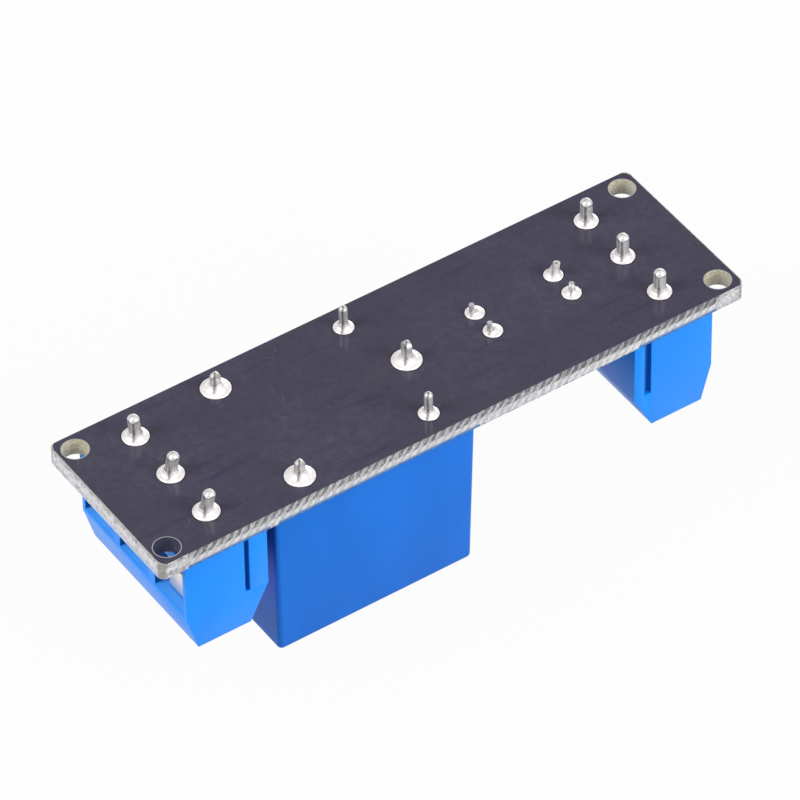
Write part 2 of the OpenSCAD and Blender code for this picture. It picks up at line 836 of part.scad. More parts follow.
// A strip that ends in a contact pin, bent over to carry a fixed contact
module fixed_contact(side, contact_face_z, towards) {
    tab_near_z = contact_face_z + towards * contact_t;
    low_z = min(tab_near_z, tab_near_z + towards * contact_pin_t);
    color("goldenrod")
        at_relay()
            translate([-contact_dx, 0, 0]) {
                translate([0, side * pin_row / 2, 0]) {
                    upright_box(tab_w, contact_pin_t, low_z, base_z);
                    translate([0, 0, base_z])
                        round_ended_blade(
                            contact_pin_w, contact_pin_t, board_t + contact_pin_proud - base_z
                        );
                }
                translate([-tab_w / 2, side > 0 ? -past_middle : -pin_row / 2, low_z])
                    cube([tab_w, pin_row / 2 + past_middle, contact_pin_t]);
                translate([0, 0, min(contact_face_z, tab_near_z)])
                    cylinder(d = contact_d, h = contact_t);
            }
}

module open_contact_terminal() {
    fixed_contact(-1, open_contact_z, 1);
}

module closed_contact_terminal() {
    fixed_contact(1, closed_contact_z, -1);
}

module coil_pins() {
    low_z = bobbin_top_z - flange_t - below_ear;
    tip_z = board_t + coil_pin_proud;
    color("silver")
        at_relay()
            translate([-coil_pin_dx, 0, 0])
                across(pin_row)
                    union() {
                        translate([0, 0, low_z])
                            cylinder(d = coil_pin_d, h = tip_z - coil_pin_d / 2 - low_z);
                        translate([0, 0, tip_z - coil_pin_d / 2])
                            sphere(d = coil_pin_d);
                    }
}

// ---------- Lamps ----------

module led_lens(x, tint) {
    color(tint)
        translate([x, led_y, board_z])
            mirror([0, 0, 1])
                rotate_extrude()
                    union() {
                        square([led_collar_d / 2, led_collar_h]);
                        square([led_d / 2, led_h - led_d / 2]);
                        intersection() {
                            translate([0, led_h - led_d / 2])
                                circle(d = led_d);
                            square([led_d, led_h]);
                        }
                    }
}

module led_leads(x) {
    color("silver")
        translate([x, led_y, board_z])
            across(lead_pitch)
                cylinder(d = lead_d, h = board_t + lead_proud);
}

module power_led_lens() {
    led_lens(power_led_x, "limegreen");
}

module power_led_leads() {
    led_leads(power_led_x);
}

module relay_led_lens() {
    led_lens(relay_led_x, "red");
}

module relay_led_leads() {
    led_leads(relay_led_x);
}

// ---------- Surface-mounted parts ----------

// A moulded body with sloping sides, w along X and l along Y, hanging below the board's face
module moulded_body(w, l, low_z, high_z) {
    intersection() {
        rotate([90, 0, 0])
            linear_extrude(l, center = true)
                sloped_profile(w, low_z, high_z);
        rotate([90, 0, 90])
            linear_extrude(w, center = true)
                sloped_profile(l, low_z, high_z);
    }
}

module sloped_profile(w, low_z, high_z) {
    polygon([
        [body_slope - w / 2, low_z],
        [w / 2 - body_slope, low_z],
        [w / 2, (low_z + high_z) / 2],
        [w / 2 - body_slope, high_z],
        [body_slope - w / 2, high_z],
        [-w / 2, (low_z + high_z) / 2]
    ]);
}

// A bent lead that leaves a body half-way up and ends in a foot on the board, along +X
module gull_lead(from_x, reach, w, exit_z) {
    extrude_across(w)
        polygon([
            [0, exit_z],
            [from_x + smd_lead_t, exit_z],
            [from_x + smd_lead_t, -smd_lead_t],
            [from_x + smd_lead_t + smd_foot_l, -smd_lead_t],
            [from_x + reach, 0],
            [from_x, 0],
            [from_x, exit_z + smd_lead_t],
            [0, exit_z + smd_lead_t]
        ]);
}

module transistor() {
    color("dimgray")
        translate([small_part_x, small_part_y, board_z])
            union() {
                moulded_body(transistor_w, transistor_l, -transistor_h, -off_board);
                transistor_lead();
                for (y = [-lead_spread, lead_spread])
                    translate([0, y, 0])
                        rotate([0, 0, 180])
                            transistor_lead();
            }
}

module transistor_lead() {
    bend_x = transistor_w / 2 + lead_out;
    gull_lead(bend_x, transistor_lead_reach, transistor_lead_w, -transistor_h / 2);
}

module diode() {
    color("black")
        translate([small_part_x, -small_part_y, board_z])
            union() {
                moulded_body(diode_l, diode_w, -diode_h, -off_board);
                for (turn = [0, 180])
                    rotate([0, 0, turn])
                        gull_lead(diode_l / 2 + lead_out, diode_lead_reach, diode_lead_w, -diode_h / 2);
            }
}

module chip_resistors() {
    color("dimgray")
        for (y = [small_part_y, small_part_y - chip_pitch, -small_part_y])
            translate([(power_led_x + relay_led_x) / 2, y, board_z])
                upright_box(chip_l, chip_w, -chip_h, 0);
}

// ---------- Solder ----------

// Solder that fills a hole and spreads over its pad, with a round edge and a hollow curve from
// there up to the pin. pin_r is the pin's greatest radius. Its children are cut out.
module solder_joint(d, hole, pin_r, climb, shift = 0) {
    difference() {
        union() {
            cylinder(d = hole - 2 * pin_gap, h = board_t);
            translate([shift, 0, board_t])
                rotate_extrude()
                    joint_profile(d / 2 - joint_dome, pin_r + climb_collar, climb);
        }
        children();
    }
}

// Half the section of a joint, whose hollow curve runs from rim_r at the rim up to top_r
module joint_profile(rim_r, top_r, climb) {
    run = rim_r - top_r;
    rise = climb - joint_dome;
    curve_r = (run * run + rise * rise) / (2 * min(run, rise));
    union() {
        square([rim_r, joint_dome]);
        intersection() {
            translate([rim_r, 0])
                circle(joint_dome);
            square([rim_r + joint_dome, joint_dome]);
        }
        difference() {
            polygon([[0, 0], [rim_r, joint_dome], [top_r, climb], [0, climb]]);
            translate(rise > run ? [top_r + curve_r, climb] : [rim_r, joint_dome + curve_r])
                circle(curve_r, $fn = 256);
        }
    }
}

module terminal_solder() {
    color("whitesmoke")
        for (i = [1 : pole_count])
            at_pole(i)
                solder_joint(joint_d(i), terminal_hole_d, pin_reach, joint_climb)
                    translate([0, 0, -cut])
                        linear_extrude(board_t + 3 * cut)
                            pin_section(pin_gap);
}

module relay_solder() {
    common_reach_r = norm([common_pin_w, common_pin_t]) / 2;
    contact_reach_r = norm([contact_pin_w, contact_pin_t]) / 2;
    color("whitesmoke")
        at_relay() {
            solder_joint(contact_joint_d, common_hole_d, common_reach_r, joint_climb)
                upright_box(
                    common_pin_t + 2 * pin_gap, common_pin_w + 2 * pin_gap, -cut, board_t + 2 * cut
                );
            translate([-coil_pin_dx, 0, 0])
                across(pin_row)
                    solder_joint(coil_joint_d, coil_hole_d, coil_pin_d / 2, joint_climb)
                        translate([0, 0, -cut])
                            cylinder(d = coil_pin_d + 2 * pin_gap, h = board_t + 3 * cut);
            translate([-contact_dx, 0, 0])
                across(pin_row)
                    solder_joint(contact_joint_d, contact_hole_d, contact_reach_r, joint_climb)
                        upright_box(
                            contact_pin_w + 2 * pin_gap, contact_pin_t + 2 * pin_gap,
                            -cut, board_t + 2 * cut
                        );
        }
}

module led_solder() {
    color("whitesmoke")
        for (side = [-1, 1]) {
            lead_joint(power_led_x, side, low_climb, power_joint_shift);
            lead_joint(relay_led_x, side, side > 0 ? drawn_climb : joint_climb, 0);
        }
}

module lead_joint(x, side, climb, shift) {
    translate([x, led_y + side * lead_pitch / 2, board_z])
        solder_joint(lead_joint_d, lead_hole_d, lead_d / 2, climb, shift)
            translate([0, 0, -cut])
                cylinder(d = lead_d + 2 * pin_gap, h = board_t + 3 * cut);
}

// ---------- Drawing ----------

circuit_board();
left_terminal_housing();
right_terminal_housing();
for (i = [1 : pole_count]) {
    clamp_body(i);
    pressure_plate(i);
    terminal_screw(i);
}
relay_case();
relay_base();
relay_yoke();
relay_core();
relay_bobbin();
relay_coil();
relay_armature();
contact_blade();
common_terminal();
open_contact_terminal();
closed_contact_terminal();
coil_pins();
power_led_lens();
power_led_leads();
relay_led_lens();
relay_led_leads();
transistor();
diode();
chip_resistors();
terminal_solder();
relay_solder();
led_solder();
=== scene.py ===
import json
import math

import bmesh
import bpy
from bpy.props import FloatProperty, FloatVectorProperty, PointerProperty
from mathutils import Matrix, Vector


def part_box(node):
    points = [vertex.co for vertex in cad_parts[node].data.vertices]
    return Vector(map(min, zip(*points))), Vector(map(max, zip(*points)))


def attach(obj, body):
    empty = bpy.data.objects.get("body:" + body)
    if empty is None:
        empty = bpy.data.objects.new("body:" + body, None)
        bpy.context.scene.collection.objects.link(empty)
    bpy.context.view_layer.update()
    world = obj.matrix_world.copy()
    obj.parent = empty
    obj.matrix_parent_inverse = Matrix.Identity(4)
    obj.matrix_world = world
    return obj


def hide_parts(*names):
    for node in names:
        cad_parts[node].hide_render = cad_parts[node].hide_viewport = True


bl_info = {
    "name": "Relay module",
    "version": (1, 0, 0),
    "blender": (4, 5, 0),
    "location": "View3D > Sidebar > Relay module",
    "description": "Dresses a relay module with its board, terminal blocks, relay, lamps and solder",
    "category": "Add Mesh",
}

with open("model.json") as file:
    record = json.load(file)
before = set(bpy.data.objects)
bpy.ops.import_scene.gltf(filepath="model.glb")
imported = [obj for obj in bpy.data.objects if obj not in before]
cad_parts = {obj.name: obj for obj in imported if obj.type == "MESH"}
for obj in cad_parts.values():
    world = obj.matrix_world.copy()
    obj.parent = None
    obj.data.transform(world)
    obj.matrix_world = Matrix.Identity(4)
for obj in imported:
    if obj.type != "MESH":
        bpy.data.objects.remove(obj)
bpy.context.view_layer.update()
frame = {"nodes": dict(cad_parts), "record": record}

MM = 0.001
POLES = range(1, 7)
BOARD_LOW, BOARD_HIGH = (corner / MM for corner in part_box("circuit_board"))
CORNER_HOLES = next(m["dims"] for m in frame["record"]["mounts"] if m["name"] == "corner_holes")


def middle(node):
    """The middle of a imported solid, in millimetres."""
    low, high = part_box(node)
    return (low + high) / (2 * MM)


# Where the pins and leads come through the board, in millimetres
SCREW = middle("terminal_screw_3")
SCREW_OFFSET = 0.2
PIN_ROW = abs(SCREW.x) - SCREW_OFFSET
CONTACT_X = middle("open_contact_terminal").x
COIL_X = middle("coil_pins").x
COMMON_X = 0.64
RELAY_PIN_Y = 6.0
LEAD_HALF_PITCH = 1.27
POWER_JOINT_SHIFT = 0.3

# Radii of the solder joints at the left and right blocks, the relay's pins and the leads
LEFT_JOINT_R, RIGHT_JOINT_R = 1.13, 1.03
RELAY_JOINT_R, COIL_JOINT_R, LEAD_JOINT_R = 1.28, 0.88, 0.83

# The chip resistors: their outer and inner rows, how far out their caps are, their lands and frames
CHIP_OUTER_ROWS, CHIP_INNER_ROW, CHIP_CAP_X = 4.6, 1.7, 1.0
CHIP_LAND, CHIP_FRAME = (0.55, 0.7), (1.8, 0.95)

# The diode and the transistor: how far out their leads end, their lands, frames and the bar
DIODE_LEAD_X, DIODE_LAND, DIODE_FRAME = 1.75, (0.5, 0.55), (2.5, 1.15)
DIODE_BAR_X, DIODE_BAR = 1.0, (0.12, 1.1)
TRANSISTOR_LEAD_X, TRANSISTOR_LEAD_Y = 1.0, 0.95
TRANSISTOR_LAND, TRANSISTOR_FRAME = (0.5, 0.4), (1.75, 1.75)
LAMP_FRAME_R = 1.8
PRINT_HALF_WIDTH = 0.07

# The screws' heads and noses, the pitch of the coil's winding, and widths of the copper tracks
HEAD_H, NOSE_H = 1.35, 0.9
WIRE_PITCH = 0.09
COMMON_TRACK, CONTACT_TRACK, SUPPLY_TRACK, SIGNAL_TRACK = 2.6, 2.4, 0.7, 0.5

# The housings: where their grooves and wire openings start, and each groove's inset and width
GROOVE_FOOT = 8.9
GROOVE_WIDE, GROOVE_NARROW = (1.0, 0.65), (1.75, 0.4)
GROOVE_DEPTH, GROOVE_FROM_SIDE = 0.5, 0.90
OPENING_FLOOR = 9.2
OPENING_DEPTH = 5.6
OPENING_SIDE = 7.4

# The pins: the height of their tips, the side of their painted dark streaks, the way in which some
# of them lean, from what height and how far, and how a joint leans with its lead, in higher steps
TIP_H = 0.47
TOWARDS_PAINTED_STREAK = Vector((-0.70, -0.72))
LEAN_WAY = (0.83, -0.56, 0.0)
LEAN_FOOT = 0.35
PIN_LEAN = {1: 0.27, 2: 0.25, 3: -0.10}
LEAD_LEAN, LEAD_REACH = 0.26, 1.1
JOINT_STEPS, JOINT_STEP = 4, 0.25

# Radii of the rounded edges, in metres
CLAMP_EDGE, THIN_EDGE, CASE_EDGE, LENS_EDGE, SMALL_EDGE, SOLDER_EDGE = (
    radius * MM for radius in (0.05, 0.04, 0.10, 0.06, 0.03, 0.05))

# Angles in degrees: what counts as flat, as a smooth surface and as a sharp edge
FLAT, SMOOTH, SHARP, SHARP_ON_CASE = 0.6, 28.0, 35.0, 50.0


# ---------- Sizes and colours ----------

def length(name, description, millimetres):
    """A length that a user may change, kept in metres."""
    return FloatProperty(name=name, description=description, default=millimetres * MM,
                         min=0.0, precision=5, unit="LENGTH")


def tint(name, description, colour):
    """A colour that a user may change."""
    return FloatVectorProperty(name=name, description=description, default=colour, size=3,
                               min=0.0, max=1.0, subtype="COLOR")


def amount(name, description, value):
    """A share between none and all."""
    return FloatProperty(name=name, description=description, default=value, min=0.0, max=1.0,
                         subtype="FACTOR")


def watts(name, description, value):
    """The power of a lamp."""
    return FloatProperty(name=name, description=description, default=value, min=0.0, unit="POWER")


class BoardSettings(bpy.types.PropertyGroup):
    """The circuit board"""
    mask_colour: tint("Solder mask", "Colour of the lacquer on both faces", (0.0555, 0.0515, 0.0765))
    streak_colour: tint("Mask streaks", "Colour of the long streaks in the lacquer", (0.036, 0.026, 0.066))
    core_colour: tint("Laminate", "Colour of the glass laminate at the edges", (0.68, 0.675, 0.69))
    core_shade: tint("Laminate shade", "Colour between the fibre bundles", (0.115, 0.115, 0.13))
    rim_colour: tint("Bare rim", "Colour of the laminate beside the lacquer", (0.345, 0.34, 0.33))
    # Colour of the painted shade and blue reflection at the foot of the board's edge
    foot_shade_colour: tint("Edge foot", "Colour of the edge just above the blue parts", (0.09, 0.20, 0.43))
    hole_colour: tint("Hole wall", "Colour of the laminate in the corner holes", (0.50, 0.465, 0.36))
    # Colour of the darker wall of the near left corner hole
    dark_wall_colour: tint("Hole stain", "Colour of the stained corner hole", (0.030, 0.034, 0.075))
    pull_back: length("Mask pull-back", "Mean width of the bare rim at the board's ends", 0.09)
    pull_aside: length("Mask offset", "How far the lacquer sits towards the right end", 0.03)
    mask_corner: length("Mask corner", "Corner radius of the lacquer", 0.95)
    ring_width: length("Hole ring", "Width of the bare ring round each corner hole", 0.06)
    weave_pitch: length("Bundle pitch", "Distance between fibre bundles on the long edges", 0.80)
    gloss: amount("Mask roughness", "How dull the lacquer is", 0.08)


class PlasticSettings(bpy.types.PropertyGroup):
    """The moulded parts"""
    housing_colour: tint("Terminal blocks", "Colour of the terminal housings", (0.006, 0.262, 0.95))
    case_colour: tint("Relay case", "Colour of the relay's case", (0.013, 0.163, 0.66))
    base_colour: tint("Relay base", "Colour of the relay's base", (0.035, 0.037, 0.040))
    bobbin_colour: tint("Bobbin", "Colour of the coil's bobbin", (0.80, 0.76, 0.66))
    edge_radius: length("Edge radius", "Radius of the moulded edges", 0.07)


class MetalSettings(bpy.types.PropertyGroup):
    """Solder, pins, screws and the relay's metal parts"""
    solder_colour: tint("Solder", "Colour of the solder", (0.90, 0.865, 0.865))
    pin_colour: tint("Tinned metal", "Colour of the terminal pins and clamps", (0.74, 0.72, 0.72))
    steel_colour: tint("Plated steel", "Colour of the screws and pressure plates", (0.86, 0.80, 0.74))
    bronze_colour: tint("Bronze", "Colour of the relay's springs and contacts", (0.74, 0.47, 0.24))
    copper_colour: tint("Copper wire", "Colour of the coil's winding", (0.72, 0.28, 0.12))
    iron_colour: tint("Iron", "Colour of the yoke, core and armature", (0.52, 0.52, 0.54))
    thread_pitch: length("Thread pitch", "Rise of the screws' thread in one turn", 0.45)


class LampSettings(bpy.types.PropertyGroup):
    """The two lamps"""
    power_colour: tint("Power lamp", "Colour of the lamp for the supply", (0.03, 0.52, 0.07))
    relay_colour: tint("Relay lamp", "Colour of the lamp for the relay's state", (0.72, 0.015, 0.012))


class StageSettings(bpy.types.PropertyGroup):
    """The floor and the light"""
    floor_colour: tint("Floor", "Colour of the floor under the even light", (0.45, 0.45, 0.45))
    low_sky: amount("Low sky", "Brightness of the studio near the horizon", 0.28)
    high_sky: amount("High sky", "Brightness of the studio overhead", 0.80)
    left_lamp: watts("Left lamp", "Power of the soft lamp at the left end", 6.0)
    front_lamp: watts("Front lamp", "Power of the soft lamp in front", 6.5)
    back_lamp: watts("Back lamp", "Power of the weak soft lamp behind", 2.4)


# ---------- Shader maths ----------

def maths(operation, swapped=False):
    """A method of a link that adds a Math node of an operation."""
    def method(self, *others):
        values = (*others, self) if swapped else (self, *others)
        return self.tree.node("ShaderNodeMath", {"operation": operation}, *values)
    return method


class Link:
    """A shader socket that takes part in Python arithmetic."""

    def __init__(self, tree, socket):
        self.tree, self.socket = tree, socket

    __add__, __radd__ = maths("ADD"), maths("ADD", True)
    __sub__, __rsub__ = maths("SUBTRACT"), maths("SUBTRACT", True)
    __mul__, __rmul__ = maths("MULTIPLY"), maths("MULTIPLY", True)
    __truediv__, __pow__, __abs__ = maths("DIVIDE"), maths("POWER"), maths("ABSOLUTE")
    at_least, at_most = maths("MAXIMUM"), maths("MINIMUM")
    sin, angle_to = maths("SINE"), maths("ARCTAN2")

    def ramp(self, start, end):
        """0 below start and 1 above end, with a smooth passage."""
        return self.tree.node("ShaderNodeMapRange", {"interpolation_type": "SMOOTHSTEP"},
                              self, start, end, 0.0, 1.0)

    def parts(self):
        """The three components of a vector."""
        made = self.tree.node("ShaderNodeSeparateXYZ", None, self).socket.node
        return [Link(self.tree, out) for out in made.outputs]


class Tree:
    """The nodes of a material or a world under construction."""

    def __init__(self, nodes):
        self.nodes, self.links = nodes.nodes, nodes.links

    def node(self, kind, settings=None, *values, out=0, **named):
        """A node of a kind: its settings first, then the values or links of its sockets."""
        made = self.nodes.new(kind)
        for key, value in (settings or {}).items():
            setattr(made, key, value)
        pairs = list(enumerate(values)) + [(k.replace("_", " "), v) for k, v in named.items()]
        for key, value in pairs:
            if value is not None:
                self.feed(made.inputs[key], value)
        return Link(self, made.outputs[out])

    def feed(self, target, value):
        """Sets or links a socket."""
        if isinstance(value, Link):
            self.links.new(value.socket, target)
        elif target.type == "RGBA":
            target.default_value = (*value, 1.0)
        else:
            target.default_value = value

    def blend(self, share, first, second):
        """A colour between two others."""
        other_kinds = [None] * 5
        return self.node("ShaderNodeMix", {"data_type": "RGBA"}, share, *other_kinds, first, second,
                         out=2)

    def ray(self, *kinds):
        """1 for rays of any of these kinds, otherwise 0."""
        path = self.nodes.new("ShaderNodeLightPath")
        share = 0.0
        for kind in kinds:
            share = Link(self, path.outputs[f"Is {kind} Ray"]).at_least(share)
        return share


class Finish(Tree):
    """A material under construction: its shader, and the nodes that vary over the surface."""

    def __init__(self, name, **fixed):
        self.material = bpy.data.materials.new(name)
        self.material.use_nodes = True
        super().__init__(self.material.node_tree)
        self.shader = self.nodes["Principled BSDF"]
        for socket, value in fixed.items():
            self.set(socket.replace("_", " "), value)

    def set(self, socket, value):
        """Sets or links a socket of the shader."""
        self.feed(self.shader.inputs[socket], value)

    def place(self, scale=(1.0, 1.0, 1.0), turn=0.0):
        """Where a point of the piece is, in millimetres, turned about Z and then stretched."""
        at = self.node("ShaderNodeTexCoord", out=3)
        return self.node("ShaderNodeMapping", {"vector_type": "TEXTURE"}, at,
                         Rotation=(0.0, 0.0, math.radians(turn)), Scale=[MM / s for s in scale])

    def axes(self):
        """The three coordinates of a point, in millimetres."""
        return self.place().parts()

    def noise(self, scale, detail=3.0, stretch=(1.0, 1.0, 1.0), turn=0.0):
        """Soft noise whose lumps are about 1 / scale millimetres wide."""
        return self.node("ShaderNodeTexNoise", None, Vector=self.place(stretch, turn), Scale=scale,
                         Detail=detail)

    def specks(self, scale, size):
        """Sparse round specks of a size, as a mask."""
        near = self.node("ShaderNodeTexVoronoi", {"feature": "F1"}, Vector=self.place(), Scale=scale)
        return 1.0 - near.ramp(size * 0.6, size)

    def scratches(self, turn, fine):
        """A few short straight scratches in one direction, as a mask."""
        line = self.noise(1.0, 1.0, (0.10, fine, 1.0), turn)
        where = self.noise(0.35, 1.0, turn=turn)
        return (1.0 - abs(line - 0.5).ramp(0.0, 0.010)) * where.ramp(0.60, 0.68)

    def bump(self, height, depth):
        """Relief of a depth in millimetres, from a height between 0 and 1."""
        relief = self.node("ShaderNodeBump", None, Strength=1.0, Distance=depth * MM, Height=height)
        self.set("Normal", relief)


def within(distance, soft=0.02):
    """1 where a distance from an outline is negative, which is inside, and 0 outside."""
    return 1.0 - distance.ramp(-soft, soft)


def disc(x, y, at, radius):
    """Distance from a circle."""
    return ((x - at[0]) ** 2.0 + (y - at[1]) ** 2.0) ** 0.5 - radius


def plate(x, y, at, half, radius=0.0):
    """Distance from a rectangle with round corners."""
    side, end = abs(x - at[0]) - (half[0] - radius), abs(y - at[1]) - (half[1] - radius)
    past = (side.at_least(0.0) ** 2.0 + end.at_least(0.0) ** 2.0) ** 0.5
    return past + side.at_least(end).at_most(0.0) - radius


def strip(x, y, start, end, width):
    """Distance from a straight strip with round ends."""
    run = Vector(end) - Vector(start)
    from_x, from_y = x - start[0], y - start[1]
    share = ((from_x * run.x + from_y * run.y) / run.length_squared).at_least(0.0).at_most(1.0)
    return ((from_x - share * run.x) ** 2.0 + (from_y - share * run.y) ** 2.0) ** 0.5 - width / 2


def most(masks):
    """The greatest of some masks."""
    share = masks[0]
    for other in masks[1:]:
        share = share.at_least(other)
    return share


def shade(colour, factor):
    """A colour made lighter or darker."""
    return tuple(min(1.0, c * factor) for c in colour)


def settings(group):
    """The sizes and colours of a group, as the user has set them."""
    return getattr(bpy.context.scene, "relay_module_" + group)


# ---------- Materials ----------

def from_corner_hole(x, y):
    """Distance from the wall of the nearest corner hole."""
    at = CORNER_HOLES["spacing_x_mm"] / 2, CORNER_HOLES["spacing_y_mm"] / 2
    return disc(abs(x), abs(y), at, CORNER_HOLES["hole_r_mm"])


def lead_places():
    """Where the lamps' leads stand: the middle of each pair."""
    return [middle(which + "_led_leads") for which in ("power", "relay")]


def tracks(x, y):
    """A mask of the copper under the lacquer, which shows as a faint relief."""
    power, relay = lead_places()
    small = middle("transistor")
    pole = SCREW.y
    runs = [
        ((-PIN_ROW, 0.0), (COMMON_X, 0.0), COMMON_TRACK),
        ((-PIN_ROW, pole), (CONTACT_X, RELAY_PIN_Y), CONTACT_TRACK),
        ((-PIN_ROW, -pole), (CONTACT_X, -RELAY_PIN_Y), CONTACT_TRACK),
        ((COIL_X, RELAY_PIN_Y), (small.x, small.y), SUPPLY_TRACK),
        ((COIL_X, -RELAY_PIN_Y), (PIN_ROW, -pole), SUPPLY_TRACK),
        ((small.x, small.y), (relay.x, LEAD_HALF_PITCH), SIGNAL_TRACK),
        ((relay.x, LEAD_HALF_PITCH), (PIN_ROW, pole), SUPPLY_TRACK),
        ((power.x, -LEAD_HALF_PITCH), (PIN_ROW, 0.0), SUPPLY_TRACK),
    ]
    return most([within(strip(x, y, *run), 0.12) for run in runs])


def joints(x, y, grow=0.0):
    """Masks of the places where the pins are soldered, each grown by a width."""
    power, relay = lead_places()
    outer_pole = (abs(y) - SCREW.y / 2).ramp(-0.01, 0.01)
    from_pole = abs(abs(y) - outer_pole * SCREW.y)
    rings = [
        disc(abs(x), from_pole, (PIN_ROW, 0.0), RIGHT_JOINT_R),
        disc(-1.0 * x, from_pole, (PIN_ROW, 0.0), LEFT_JOINT_R),
        disc(x, abs(y), (CONTACT_X, RELAY_PIN_Y), RELAY_JOINT_R),
        disc(x, y, (COMMON_X, 0.0), RELAY_JOINT_R),
        disc(x, abs(y), (COIL_X, RELAY_PIN_Y), COIL_JOINT_R),
        disc(x, abs(y - power.y), (power.x + POWER_JOINT_SHIFT, LEAD_HALF_PITCH), LEAD_JOINT_R),
        disc(x, abs(y - relay.y), (relay.x, LEAD_HALF_PITCH), LEAD_JOINT_R),
    ]
    return [within(ring - grow, 0.04) for ring in rings]


def lands(x, y):
    """Masks of the tinned lands under the small parts."""
    chip, small, rectifier = middle("chip_resistors"), middle("transistor"), middle("diode")
    shapes = [
        plate(abs(x - chip.x), abs(y), (CHIP_CAP_X, CHIP_OUTER_ROWS), CHIP_LAND),
        plate(abs(x - chip.x), y, (CHIP_CAP_X, CHIP_INNER_ROW), CHIP_LAND),
        plate(abs(x - rectifier.x), y, (DIODE_LEAD_X, rectifier.y), DIODE_LAND),
        plate(x, y, (small.x + TRANSISTOR_LEAD_X, small.y), TRANSISTOR_LAND),
        plate(x, abs(y - small.y), (small.x - TRANSISTOR_LEAD_X, TRANSISTOR_LEAD_Y), TRANSISTOR_LAND),
    ]
    return [within(shape) for shape in shapes]


def print_lines(x, y):
    """A mask of the pale lines that show where the parts of the component side go."""
    chip, small, rectifier = middle("chip_resistors"), middle("transistor"), middle("diode")
    case_low, case_high = (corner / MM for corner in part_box("relay_case"))
    case = (case_low + case_high) / 2
    shapes = [disc(x, y, (at.x, at.y), LAMP_FRAME_R) for at in lead_places()]
    shapes += [
        plate(x, abs(y), (chip.x, CHIP_OUTER_ROWS), CHIP_FRAME),
        plate(x, y, (chip.x, CHIP_INNER_ROW), CHIP_FRAME),
        plate(x, y, (rectifier.x, rectifier.y), DIODE_FRAME),
        plate(x, y, (small.x, small.y), TRANSISTOR_FRAME),
        plate(x, y, (case.x, case.y), (case_high.x - case.x + 0.3, case_high.y - 0.1)),
    ]
    bar = within(plate(x, y, (rectifier.x + DIODE_BAR_X, rectifier.y), DIODE_BAR))
    return most([within(abs(shape) - PRINT_HALF_WIDTH) for shape in shapes] + [bar])


def mask_finish(name, component_side=False):
    """Dark lacquer over the copper, with a bare rim, bare rings at the holes and a little wear, and on
    the solder side a painted shadow ring round each joint.
    """
    s = settings("board")
    m = Finish(name, IOR=1.5, Specular_IOR_Level=0.34)
    x, y = m.axes()[:2]
    cloud = m.noise(0.16, 3.0)
    grain = m.noise(9.0, 3.0)
    streak = m.noise(0.9, 3.0, (0.13, 1.3, 1.0))
    scratch = most([m.scratches(24.0, 3.0), m.scratches(-38.0, 4.0), m.scratches(75.0, 3.4)])
    dust = m.specks(1.9, 0.075) * m.noise(0.7, 1.0).ramp(0.50, 0.62)
    copper = tracks(x, y)

    # The lacquer stops short of the board's ends, and runs off its long sides
    half = BOARD_HIGH.x - s.pull_back / MM, BOARD_HIGH.y + 0.14
    worn = 0.09 + x.ramp(8.0, 14.0) * (1.0 - y.ramp(-8.1, -7.6)) * 0.30
    ragged = (m.noise(2.2, 3.0) - 0.5) * worn
    edge = plate(x, y, (s.pull_aside / MM, 0.0), half, s.mask_corner / MM) + ragged
    ring = s.ring_width / MM
    coat = within(edge, 0.015) * from_corner_hole(x, y).ramp(ring - 0.01, ring + 0.01)

    # Its colour: clouds, long streaks, the copper below, fine mottle, scratches and dust
    tone = m.blend(cloud.ramp(0.35, 0.68), shade(s.mask_colour, 0.93), shade(s.mask_colour, 1.08))
    tone = m.blend(streak.ramp(0.52, 0.78) * m.noise(0.10, 1.0).ramp(0.40, 0.60) * 0.75,
                   tone, s.streak_colour)
    tone = m.blend(copper * (0.30 if component_side else 0.05), tone, (0.10, 0.085, 0.10))
    tone = m.blend((1.0 - m.noise(1.7, 4.0).ramp(0.38, 0.62)) * 0.5, tone, (0.046, 0.039, 0.068))
    tone = m.blend(scratch * 0.09 + dust * 0.30, tone, (0.38, 0.37, 0.40))
    tin = 0.0
    if component_side:
        tin = most(joints(x, y) + lands(x, y))
        tone = m.blend(print_lines(x, y) * (1.0 - tin), tone, (0.72, 0.72, 0.70))
        tone = m.blend(tin, tone, settings("metal").solder_colour)
    else:
        # Painted shadow: a dark ring round each solder joint on the lacquer
        tone = m.blend(most(joints(x, y, 0.06)) * 0.65, tone, (0.012, 0.010, 0.016))
    bare = m.blend(grain, shade(s.rim_colour, 0.7), shade(s.rim_colour, 1.3))
    m.set("Base Color", m.blend(coat, bare, tone))
    rough = s.gloss + grain * 0.04 + scratch * 0.10 + dust * 0.4 + cloud.ramp(0.4, 0.7) * 0.05
    m.set("Roughness", (rough + tin * 0.2) * coat + (1.0 - coat) * 0.75)
    m.set("Metallic", (coat * tin * 0.6) if component_side else 0.0)
    relief = copper * (0.45 if component_side else 0.05)
    m.bump(m.noise(0.55, 3.0) * 0.30 + relief + grain * 0.04 + dust * 0.2 + coat * 0.8, 0.02)
    return m.material


def board_feet():
    """The stretches of the board, as middles and halves along X, that stand on a blue part."""
    boxes = [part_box(node) for node in ("left_terminal_housing", "relay_case", "right_terminal_housing")]
    return [((low.x + high.x) / (2 * MM), (high.x - low.x) / (2 * MM)) for low, high in boxes]


